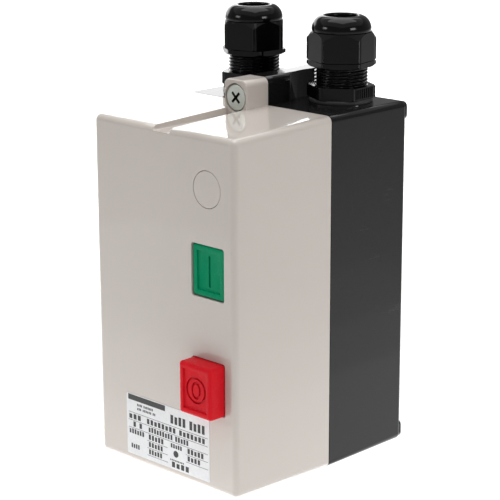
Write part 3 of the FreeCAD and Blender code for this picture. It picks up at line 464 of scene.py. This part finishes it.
def thread_levels(start, end, major, pitch, depth, steps=10):
    """Levels of one right-handed thread that fades out at its end."""
    def at(along):
        def ring(angle):
            phase = ((along - start) / pitch - angle / (2 * math.pi)) % 1.0
            ridge = 1 - abs(2 * phase - 1)
            ridge = min(max((ridge - 0.2) / 0.55, 0.0), 1.0)
            fade = min(1.0, abs(end - along) / (0.7 * pitch))
            return major - depth + depth * ridge * fade, along
        return ring
    count = int(abs(end - start) / pitch * steps)
    return [at(start + (end - start) * i / count) for i in range(count + 1)]


def gland_cap(word):
    """Compression nut: a hexagon whose corners run out in arcs under a polished dome."""
    node = "gland_cap_" + word
    low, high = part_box(node)
    hex_top = low.z + 13.2 * MM
    dome_r = 14.0 * MM
    lip_r = 8.3 * MM
    bore = 7.5 * MM
    thread_r = 11.0 * MM
    rings = [level(thread_r, low.z)]
    rings += hex_rings(low.z, hex_top, CORNER_R - 0.6 * MM, 0.6 * MM, dome_r + 0.2 * MM, 3.2 * MM)
    rings += [level(dome_r - 0.3 * MM, hex_top + 0.05 * MM),
              level(dome_r - 0.15 * MM, hex_top + 0.5 * MM)]
    rings += dome_levels(dome_r, hex_top + 1.0 * MM, lip_r, high.z, 14)
    rings += [level(lip_r - 0.45 * MM, high.z - 0.1 * MM), level(bore + 0.1 * MM, high.z - 0.4 * MM),
              level(bore, high.z - 0.8 * MM), level(bore, high.z - 1.7 * MM),
              level(thread_r, high.z - 4.7 * MM)]
    bm = bmesh.new()
    turned(bm, middle_of(node), CAP_TURN[word], rings)
    return piece(node + "_domed", bm, node, "gland_nylon", [node], 28)


def gland_body(word):
    """Threaded sleeve with its hexagonal collar, and the neck inside the compression nut."""
    node = "gland_body_" + word
    low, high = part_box(node)
    flange_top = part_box("gland_cap_" + word)[0].z - 0.3 * MM
    flange_low = flange_top - 2.5 * MM
    relief_z = flange_low - 0.5 * MM
    major = 12.5 * MM
    minor = major - THREAD_DEPTH
    neck_r = 10.7 * MM
    finger_r = 10.4 * MM
    seat_r = 9.0 * MM
    bore = 8.0 * MM
    seat_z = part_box("gland_seals")[0].z
    rings = [level(minor, low.z)]
    rings += thread_levels(low.z + 0.3 * MM, relief_z, major, THREAD_PITCH, THREAD_DEPTH)
    rings += [level(minor, relief_z + 0.1 * MM), level(minor, flange_low)]
    rings += hex_rings(flange_low, flange_top, CORNER_R - 1.6 * MM, 1.0 * MM,
                       CORNER_R - 0.3 * MM, 0.25 * MM)
    rings += [level(neck_r, flange_top), level(neck_r, flange_top + 7 * MM),
              level(finger_r, flange_top + 7.6 * MM), level(finger_r, high.z - 0.4 * MM),
              level(finger_r - 0.4 * MM, high.z), level(seat_r, high.z), level(seat_r, seat_z),
              level(bore, seat_z - 0.2 * MM), level(bore, low.z)]
    bm = bmesh.new()
    turned(bm, middle_of(node), BODY_TURN[word], rings)
    return piece(node + "_threaded", bm, "base", "gland_nylon", [node], 28)


def gland_centre(word):
    return middle_of("gland_cap_" + word)


def locknuts():
    """Two hexagonal locknuts with grip ribs on every second flat."""
    low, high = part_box("gland_locknuts")
    bore = 12.1 * MM
    edge = 0.5 * MM
    chamfer_r = CORNER_R - 0.7 * MM
    rib_half = (0.35 * MM, 0.3 * MM, (high.z - low.z) / 2 - 0.8 * MM)
    rib_pitch = 1.4 * MM
    bm = bmesh.new()
    ribs = bmesh.new()
    for word in ("left", "right"):
        centre = gland_centre(word)
        rings = [level(bore + edge, low.z)]
        rings += hex_rings(low.z, high.z, chamfer_r, edge, chamfer_r, edge)
        rings += [level(bore + edge, high.z), level(bore, high.z - edge), level(bore, low.z + edge)]
        turned(bm, centre, NUT_TURN[word], rings)
        for flat in RIBBED_FLATS[word]:
            turn = Matrix.Rotation(math.radians(NUT_TURN[word] + flat), 4, "Z")
            for k in range(-4, 5):
                made = box_into(ribs, [-half for half in rib_half], rib_half)
                reach = turn @ Vector((ACROSS_FLATS / 2, rib_pitch * k, 0))
                place = Matrix.Translation((centre.x + reach.x, centre.y + reach.y, (low.z + high.z) / 2))
                bmesh.ops.transform(ribs, matrix=place @ turn, verts=made)
    obj = piece("gland_locknuts_ribbed", bm, "base", "gland_nylon", ["gland_locknuts"], 28)
    carve(obj, ribs, "UNION")
    smooth_by_angle(obj, 28)
    return obj


def gland_washers():
    """Flat rubber rings with a rounded outer edge."""
    low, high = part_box("gland_washers")
    outer = 15.0 * MM
    inner = 12.6 * MM
    soft = 0.5 * MM
    half_height = (high.z - low.z) / 2
    bm = bmesh.new()
    for word in ("left", "right"):
        rings = [level(inner, low.z), level(outer - soft, low.z)]
        for i in range(9):
            angle = math.pi * (i / 8 - 0.5)
            rings.append(level(outer - soft + soft * math.cos(angle),
                               low.z + half_height * (1 + math.sin(angle))))
        rings += [level(outer - soft, high.z), level(inner, high.z)]
        turned(bm, gland_centre(word), 0, rings, sides=96)
    return piece("gland_washers_rounded", bm, "base", "gland_rubber", ["gland_washers"], 30)


def gland_seals():
    """Rubber sleeves with sealing ridges in the bore and a tapered top."""
    low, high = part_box("gland_seals")
    outer = 8.9 * MM
    bore = 6.8 * MM
    ridge = 0.35 * MM
    steps = 40
    steps_per_ridge = 8
    bm = bmesh.new()
    for word in ("left", "right"):
        rings = [level(bore + 0.6 * MM, low.z), level(outer - 0.3 * MM, low.z),
                 level(outer, low.z + 0.4 * MM), level(outer, high.z - 2.0 * MM),
                 level(outer - 1.0 * MM, high.z), level(bore + 0.5 * MM, high.z)]
        for i in range(steps + 1):
            z = high.z - 0.5 * MM - (high.z - low.z - 1.0 * MM) * i / steps
            wave = 0.5 - 0.5 * math.cos(2 * math.pi * i / steps_per_ridge)
            rings.append(level(bore + ridge * wave, z))
        turned(bm, gland_centre(word), 0, rings, sides=64)
    return piece("gland_seals_ridged", bm, "base", "gland_rubber", ["gland_seals"], 30)


def make_glands():
    for word in ("left", "right"):
        gland_cap(word)
        gland_body(word)
    locknuts()
    gland_washers()
    gland_seals()


# ------------------------------------------------------------------ push buttons

FLANGE_OUT = 2.3 * MM
KEY_CORNER = 1.3 * MM


def push_key(word, slot, rim, dish, edge, stem_x):
    """A moulded key: rounded edges, a raised rim round a sunk panel, a flange behind and a stem."""
    node = word + "_button"
    low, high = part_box(node)
    x, z = middle_of(node).x, middle_of(node).z
    half_x = (high.x - low.x) / 2 - FLANGE_OUT
    half_z = (high.z - low.z) / 2 - FLANGE_OUT
    face = low.y
    flange_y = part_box(word + "_button_seal")[1].y + 0.1 * MM
    back_y = flange_y + 1.4 * MM
    fillet = 0.3 * MM
    nip = 0.09 * MM

    def loop(y, inset):
        return rounded_loop(y, x, z, half_x, half_z, KEY_CORNER, inset)

    loops = [loop(face + dish, rim + fillet), loop(face + dish - nip, rim + nip),
             loop(face + dish - fillet, rim), loop(face + fillet, rim),
             loop(face + nip, rim - nip), loop(face, rim - fillet)]
    for i in range(7):
        angle = math.pi / 2 * i / 6
        loops.append(loop(face + edge * (1 - math.cos(angle)), edge * (1 - math.sin(angle))))
    loops += [loop(flange_y - fillet, 0), loop(flange_y, -fillet),
              loop(flange_y, -FLANGE_OUT + fillet), loop(flange_y + fillet, -FLANGE_OUT),
              loop(back_y - fillet, -FLANGE_OUT), loop(back_y, -FLANGE_OUT + fillet)]
    bm = bmesh.new()
    skin(bm, loops)
    obj = piece(node + "_moulded", bm, node, slot, [node], 26)
    stem = bmesh.new()
    stem_r = 2.8 * MM
    tip = 0.5 * MM
    skin(stem, [circle_y(back_y - 0.4 * MM, stem_x, z, stem_r), circle_y(high.y - tip, stem_x, z, stem_r),
                circle_y(high.y, stem_x, z, stem_r - tip)])
    carve(obj, stem, "UNION")
    return obj, Vector((x, face + dish, z))


def groove_ring(bm, centre, radii, ratio, depth):
    """An oval groove in the plane of a key's panel; radii are outer and inner, ratio is height to width."""
    loops = []
    for y, radius in ((-0.4 * MM, radii[0]), (-0.4 * MM, radii[1]), (depth, radii[1]), (depth, radii[0])):
        loop = circle_y(centre.y + y, 0, 0, radius, 64)
        loops.append([Vector((centre.x + p.x, p.y, centre.z + p.z * ratio)) for p in loop])
    skin(bm, loops, ring=True)


def make_buttons():
    start_stem = middle_of("start_plunger").x
    stop_stem = middle_of("reset_plunger").x
    start, panel = push_key("start", "green_plastic", 2.8 * MM, 0.9 * MM, 0.8 * MM, start_stem)
    bar = bmesh.new()
    half_width = 0.7 * MM
    half_height = 7.3 * MM
    outline = rounded_outline(panel.x - half_width, panel.x + half_width,
                              panel.z - half_height, panel.z + half_height, 0.65 * MM)
    skin(bar, [[Vector((px, panel.y + y, pz)) for px, pz in outline] for y in (-0.4 * MM, 0.6 * MM)])
    carve(start, bar)
    smooth_by_angle(start, 26)
    stop, panel = push_key("stop", "red_plastic", 2.8 * MM, 1.0 * MM, 1.5 * MM, stop_stem)
    rings = bmesh.new()
    groove_ring(rings, panel, (6.3 * MM, 5.3 * MM), 1.0, 0.9 * MM)
    groove_ring(rings, panel, (2.9 * MM, 2.0 * MM), 1.45, 0.9 * MM)
    carve(stop, rings)
    smooth_by_angle(stop, 26)


# ------------------------------------------------------------------ cover screws

SCREW_PITCH = 0.8 * MM
# Darker zinc for the faces inside the screws' cross recess: painted shade, standing in for the dark of the
# deep recess.
RECESS_PAINTED_SHADE = metal("screw_recess_painted_shade", tone(58, 60, 58), tone(44, 46, 44), 0.6, (900, 900, 900), 0.3)


def cover_screw(word):
    """Captive screw: a broad head with a rolled edge, a cross recess darkened with painted shade, and a
    threaded shank.
    """
    node = "cover_screw_" + word
    low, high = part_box(node)
    middle = middle_of(node)
    head_r = (high.x - low.x) / 2 - 0.5 * MM
    seat_y = low.y + 7.65 * MM
    neck_r = 2.1 * MM
    shank_r = 2.4 * MM
    crown = 0.12 * MM
    edge = 0.45 * MM
    rings = [level(0.01 * MM, low.y)]
    rings += [level(head_r * share, low.y + crown * share ** 2) for share in (0.3, 0.6, 0.85)]
    for i in range(5):
        angle = math.pi / 2 * i / 4
        rings.append(level(head_r - edge * (1 - math.sin(angle)),
                           low.y + crown + edge * (1 - math.cos(angle))))
    rings += [level(head_r, seat_y - 0.3 * MM), level(head_r - 0.3 * MM, seat_y), level(neck_r, seat_y)]
    thread_start = seat_y + 4.0 * MM
    rings += [level(neck_r, thread_start)]
    rings += thread_levels(thread_start, high.y - 0.6 * MM, shank_r, SCREW_PITCH, 0.45 * MM, 8)
    rings += [level(shank_r - 0.7 * MM, high.y), level(0.01 * MM, high.y)]
    bm = bmesh.new()
    turned(bm, middle, 0, rings, "y", 64)
    obj = piece(node + "_threaded", bm, node, "screw_metal", [node], 30)
    reach = 3.4 * MM
    half = 0.68 * MM
    depth = 5.5 * MM
    centre = Matrix.Translation((middle.x, low.y, middle.z))
    for turn in (45, 135):
        bar = bmesh.new()
        made = box_into(bar, (-reach, -0.6 * MM, -half), (reach, depth, half))
        taper = [v for v in made if v.co.y > 0]
        bmesh.ops.scale(bar, vec=(0.75, 1, 0.8), verts=taper)
        bmesh.ops.transform(bar, matrix=centre @ Matrix.Rotation(math.radians(turn), 4, "Y"), verts=made)
        carve(obj, bar)
    smooth_by_angle(obj, 30)
    # Faces inside the cross recess take the darker material, as painted shade.
    obj.data.materials.append(RECESS_PAINTED_SHADE)
    for polygon in obj.data.polygons:
        off_axis = math.hypot(polygon.center.x - middle.x, polygon.center.z - middle.z)
        behind = polygon.center.y - low.y
        if off_axis < 1.02 * reach and 0.15 * MM < behind < depth + 0.1 * MM:
            polygon.material_index = 1
    return obj


# ------------------------------------------------------------------ rating label


# In shares of the label's size from its top left corner: start, end and height of a ruled line
RULED_LINES = ((0.02, 0.98, 0.3), (0.02, 0.98, 0.43), (0.02, 0.98, 0.555), (0.25, 0.5, 0.68),
               (0.72, 0.98, 0.68), (0.25, 0.5, 0.8), (0.72, 0.98, 0.8), (0.25, 0.5, 0.92))

# Start, end, height and size of a row of blocks, with the number of blocks in each word
WORD_ROWS = (
    (0.13, 0.33, 0.135, 0.04, (4, 7)),
    (0.13, 0.36, 0.2, 0.04, (3, 6, 2)),
    (0.54, 0.96, 0.12, 0.14, (4, 4)),
    (0.03, 0.19, 0.325, 0.085, (3,)),
    (0.25, 0.96, 0.325, 0.085, (8, 7)),
    (0.08, 0.2, 0.45, 0.085, (1, 1)),
    (0.27, 0.76, 0.45, 0.085, (9, 5)),
    (0.03, 0.22, 0.575, 0.08, (6,)),
    (0.27, 0.46, 0.575, 0.085, (5,)),
    (0.54, 0.68, 0.585, 0.07, (5,)),
    (0.74, 0.94, 0.575, 0.085, (5,)),
    (0.27, 0.45, 0.7, 0.08, (5,)),
    (0.74, 0.9, 0.7, 0.08, (4,)),
    (0.05, 0.16, 0.82, 0.075, (4,)),
    (0.27, 0.44, 0.82, 0.08, (5,)),
    (0.53, 0.7, 0.84, 0.025, (9,)),
    (0.55, 0.77, 0.88, 0.09, (4,)),
)


def ink_material():
    f = Finish("label_ink")
    wear = f.noise(1800, 3, 0.6)
    f.set(colour=f.blend(f.spread(wear, 0.0, 1.0, 0.45, 0.7), tone(30, 31, 33), tone(48, 49, 52)))
    f.set(rough=0.42)
    f.bump(f.noise(900, 2, 0.5), 0.00001, 0.3)
    return f.material


def label_print():
    """Generic print: a solid bar, ruled lines and rows of blocks where words would be."""
    low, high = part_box("rating_label")
    face = low.y
    lift = 0.02 * MM
    width = high.x - low.x
    height = high.z - low.z
    bm = bmesh.new()

    def mark(x0, x1, z0, z1):
        """A mark given in shares of the label's width and height from its top left corner."""
        box_into(bm, (low.x + width * x0, face - lift, high.z - height * z1),
                 (low.x + width * x1, face + lift / 2, high.z - height * z0))

    def words(x0, x1, z, size, lengths):
        """Plain blocks between x0 and x1 on one line, one group for each word."""
        step = (x1 - x0) / (sum(lengths) + 0.7 * (len(lengths) - 1))
        x = x0
        for length in lengths:
            for k in range(length):
                short = 0.0 if (k * 5 + length) % 3 else 0.12
                mark(x, x + step * 0.68, z + size * short, z + size)
                x += step
            x += step * 0.7

    rule = 0.007
    mark(0.02, 0.475, 0.01, 0.1)
    for x0, x1, z in RULED_LINES:
        mark(x0, x1, z, z + rule)
    for row in WORD_ROWS:
        words(*row)
    dot_r = 0.03 * width
    made = bmesh.ops.create_cone(bm, segments=24, radius1=dot_r, radius2=dot_r, depth=1.5 * lift,
                                 cap_ends=True)["verts"]
    place = Matrix.Translation((low.x + 0.6 * width, face - lift * 0.25, high.z - 0.74 * height))
    bmesh.ops.transform(bm, matrix=place @ Matrix.Rotation(math.pi / 2, 4, "X"), verts=made)
    mesh = bpy.data.meshes.new("label_print")
    bm.to_mesh(mesh)
    bm.free()
    obj = bpy.data.objects.new("label_print", mesh)
    bpy.context.scene.collection.objects.link(obj)
    obj.data.materials.append(ink_material())
    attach(obj, "cover")


# ------------------------------------------------------------------ springs and winding

TRAVEL = {"start": 4 * MM, "stop": 5 * MM, "armature": 4 * MM}


def spring_into(bm, axis_at, start, end, radius, wire, turns, sides=8, steps=20):
    """A closed-end compression spring along Y; axis_at is its x and z."""
    count = int(turns * steps)
    loops = []
    closed = 1.0
    closed_pitch = wire * 1.02
    open_pitch = (end - start - wire - 2 * closed * closed_pitch) / (turns - 2 * closed)
    for i in range(count + 1):
        t = i / steps
        lead = min(t, closed) * closed_pitch
        lead += max(0.0, min(t, turns - closed) - closed) * open_pitch
        lead += max(0.0, t - (turns - closed)) * closed_pitch
        angle = 2 * math.pi * t
        out = Vector((math.cos(angle), 0, math.sin(angle)))
        along = Vector((-math.sin(angle), 0.0, math.cos(angle)))
        centre = Vector((axis_at[0], start + wire / 2 + lead, axis_at[1])) + out * radius
        side = along.cross(out)
        loops.append([centre + (out * math.cos(a) + side * math.sin(a)) * wire / 2
                      for a in (2 * math.pi * k / sides for k in range(sides))])
    skin(bm, loops)


def coil_springs(node, body, places, radius, wire, turns, squash=None):
    """Helical springs in place of a node of plain sleeves; squash is (joint, fixed y, travel), but only
    whether it is given is used, to give the piece a mesh of its own.
    """
    low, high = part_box(node)
    bm = bmesh.new()
    for place in places:
        spring_into(bm, place, low.y, high.y, radius, wire, turns)
    obj = piece(node + "_coils", bm, body, "spring_steel", [node], 50)
    if squash:
        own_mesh(obj)
    return obj


def make_springs():
    for word in ("start", "stop"):
        node = word + "_button_spring"
        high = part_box(node)[1]
        at = middle_of(node)
        coil_springs(node, "cover", [(at.x, at.z)], 3.9 * MM, 0.8 * MM, 6,
                     (word + "_press", high.y, TRAVEL[word]))
    low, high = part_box("return_springs")
    centre = middle_of("return_springs")
    reach = (high.x - low.x) / 2 - 2.4 * MM
    places = [(centre.x - reach, centre.z), (centre.x + reach, centre.z)]
    coil_springs("return_springs", "base", places, 2.0 * MM, 0.55 * MM, 9,
                 ("armature_pull_in", high.y, TRAVEL["armature"]))
    low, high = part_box("contact_springs")
    centre = middle_of("contact_springs")
    span = (high.x - low.x) - 4.6 * MM
    places = [(low.x + 2.3 * MM + span * i / 3, centre.z) for i in range(4)]
    coil_springs("contact_springs", "armature", places, 1.9 * MM, 0.5 * MM, 6)
    at = middle_of("start_switch_spring")
    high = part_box("start_switch_spring")[1]
    coil_springs("start_switch_spring", "base", [(at.x, at.z)], 2.0 * MM, 0.5 * MM, 9,
                 ("start_press", high.y, TRAVEL["start"]))
    at = middle_of("reset_spring")
    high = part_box("reset_spring")[1]
    coil_springs("reset_spring", "base", [(at.x, at.z)], 2.0 * MM, 0.5 * MM, 8,
                 ("stop_press", high.y, TRAVEL["stop"]))


def coil_winding():
    """Enamelled wire laid turn by turn on the bobbin, with a bound outer layer."""
    low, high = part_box("coil_winding")
    centre = middle_of("coil_winding")
    wire = 0.6 * MM
    half_x = (high.x - low.x) / 2 - wire / 2
    half_z = (high.z - low.z) / 2 - wire / 2
    inner_x = 9.2 * MM
    inner_z = 7.2 * MM
    turns = int((high.y - low.y) / wire)
    step = (high.y - low.y) / turns
    points = 6
    loops = [rounded_loop(low.y, centre.x, centre.z, inner_x, inner_z, 1.2 * MM)]
    for k in range(turns):
        for i in range(points):
            angle = math.pi * i / points
            y = low.y + step * (k + 0.5 - 0.5 * math.cos(angle))
            swell = wire / 2 * math.sin(angle)
            loops.append(rounded_loop(y, centre.x, centre.z, half_x, half_z, 4.0 * MM, -swell))
    loops.append(rounded_loop(high.y, centre.x, centre.z, half_x, half_z, 4.0 * MM))
    loops.append(rounded_loop(high.y, centre.x, centre.z, inner_x, inner_z, 1.2 * MM))
    bm = bmesh.new()
    skin(bm, loops, ring=True)
    return piece("coil_winding_turns", bm, "base", "copper", ["coil_winding"], 80)


# ------------------------------------------------------------------ cover details


def gate_mark():
    """Faint round witness of the moulding gate on the front face."""
    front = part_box("cover_shell")[0].y
    rise = 0.03 * MM
    radius = 4.5 * MM
    x = -0.8 * MM
    z = -3.4 * MM
    bm = bmesh.new()
    skin(bm, [circle_y(front - rise, x, z, radius - 0.25 * MM),
              circle_y(front - rise * 0.7, x, z, radius - 0.1 * MM),
              circle_y(front + rise, x, z, radius)])
    return piece("gate_mark", bm, "cover", "cover_plastic")


def soften_edges(node, width, degrees=38, segments=2):
    """Small rounded edges on a carried-over node, by modifiers only."""
    obj = NODES[node]
    weld = obj.modifiers.new("weld", "WELD")
    weld.merge_threshold = 0.000002
    flat = obj.modifiers.new("merge_flats", "DECIMATE")
    flat.decimate_type = "DISSOLVE"
    flat.angle_limit = math.radians(0.6)
    bevel = obj.modifiers.new("edge_radius", "BEVEL")
    bevel.width = width
    bevel.segments = segments
    bevel.limit_method = "ANGLE"
    bevel.angle_limit = math.radians(degrees)
    bevel.use_clamp_overlap = True
    bevel.harden_normals = True


make_glands()
make_buttons()
for word in ("top", "bottom"):
    cover_screw(word)
label_print()
make_springs()
coil_winding()
gate_mark()
for name in NODES:
    if not NODES[name].hide_render and name != "rating_label":
        soften_edges(name, 0.22 * MM)


# ------------------------------------------------------------------ camera, light, floor

CAMERA_AZIMUTH = math.radians(44.258)
CAMERA_ELEVATION = math.radians(15.241)
CAMERA_ROLL = math.radians(-0.183)
CAMERA_EYE = Vector((0.5829, -0.6575, 0.2422))
CAMERA_LENS = 130.5


def make_camera():
    flat = math.cos(CAMERA_ELEVATION)
    back = Vector((math.sin(CAMERA_AZIMUTH) * flat, -math.cos(CAMERA_AZIMUTH) * flat,
                   math.sin(CAMERA_ELEVATION)))
    right = Vector((math.cos(CAMERA_AZIMUTH), math.sin(CAMERA_AZIMUTH), 0))
    up = back.cross(right)
    tilted_right = right * math.cos(CAMERA_ROLL) + up * math.sin(CAMERA_ROLL)
    tilted_up = up * math.cos(CAMERA_ROLL) - right * math.sin(CAMERA_ROLL)
    data = bpy.data.cameras.new("camera")
    data.lens = CAMERA_LENS
    data.clip_start = 0.01
    data.clip_end = 50
    camera = bpy.data.objects.new("camera", data)
    bpy.context.scene.collection.objects.link(camera)
    turn = Matrix((tilted_right, tilted_up, back)).transposed()
    camera.matrix_world = Matrix.Translation(CAMERA_EYE) @ turn.to_4x4()
    bpy.context.scene.camera = camera


def softbox(name, place, target, size, radiance, spread=180):
    """A soft rectangular light with the given brightness of its face and beam angle in degrees."""
    data = bpy.data.lights.new(name, "AREA")
    data.shape = "RECTANGLE"
    data.size, data.size_y = size
    data.energy = radiance * math.pi * size[0] * size[1]
    data.spread = math.radians(spread)
    light = bpy.data.objects.new(name, data)
    bpy.context.scene.collection.objects.link(light)
    light.location = place
    light.rotation_euler = (Vector(target) - Vector(place)).to_track_quat("-Z", "Y").to_euler()
    light.visible_camera = False
    return light


def make_light():
    world = bpy.data.worlds.new("studio")
    world.use_nodes = True
    background = world.node_tree.nodes["Background"]
    background.inputs["Color"].default_value = (1.0, 0.995, 0.985, 1)
    background.inputs["Strength"].default_value = 0.22
    bpy.context.scene.world = world
    softbox("ceiling", (0, 0, 3.0), (0, 0, 0), (8, 8), 0.4)
    softbox("overhead", (-0.05, 0.1, 1.3), (-0.05, 0.1, 0), (1.2, 1.2), 2.6)
    softbox("over_background", (-1.2, 1.3, 1.3), (-1.2, 1.3, 0), (1.8, 1.8), 1.9, spread=110)
    softbox("back_wall", (-4.12, 1.22, 0.85), (-1.52, -1.48, 0.1), (4.5, 1.7), 2.2)
    softbox("right_panel", (1.45, -0.1, 0.55), (0, -0.05, 0), (0.5, 0.3), 10.5)
    softbox("left_panel", (-0.65, -1.35, 0.55), (0, -0.05, 0), (0.45, 0.28), 8.2)
    table = CAD_BOX[0].z
    for name, reach, glow in (("near", 0.22, 0.34), ("middle", 0.32, 0.29), ("far", 0.42, 0.28)):
        front_y = -0.06 - reach / 2
        softbox("front_bounce_" + name, (-0.185, front_y, table), (-0.185, front_y, 1), (0.46, reach), glow)
    for name, reach, glow in (("near", 0.16, 0.45), ("middle", 0.22, 0.25), ("far", 0.3, 0.1)):
        side_x = reach / 2
        softbox("right_bounce_" + name, (side_x, 0.05, table), (side_x, 0.05, 1), (reach, 0.45), glow)
    view = bpy.context.scene.view_settings
    view.view_transform = "Standard"
    view.look = "None"


FLOOR_DROP = 0.12


def make_floor():
    z = CAD_BOX[0].z - FLOOR_DROP
    bpy.ops.mesh.primitive_grid_add(x_subdivisions=8, y_subdivisions=8, size=14, location=(0, 0, z))
    floor = bpy.context.object
    floor.name = "studio_floor"
    f = Finish("studio_floor")
    grain = f.noise(40, 3, 0.5)
    f.set(colour=f.blend(f.spread(grain, 0.0, 1.0), tone(250, 250, 250), tone(246, 246, 246)), rough=0.6)
    floor.data.materials.append(f.material)


make_camera()
make_light()
make_floor()
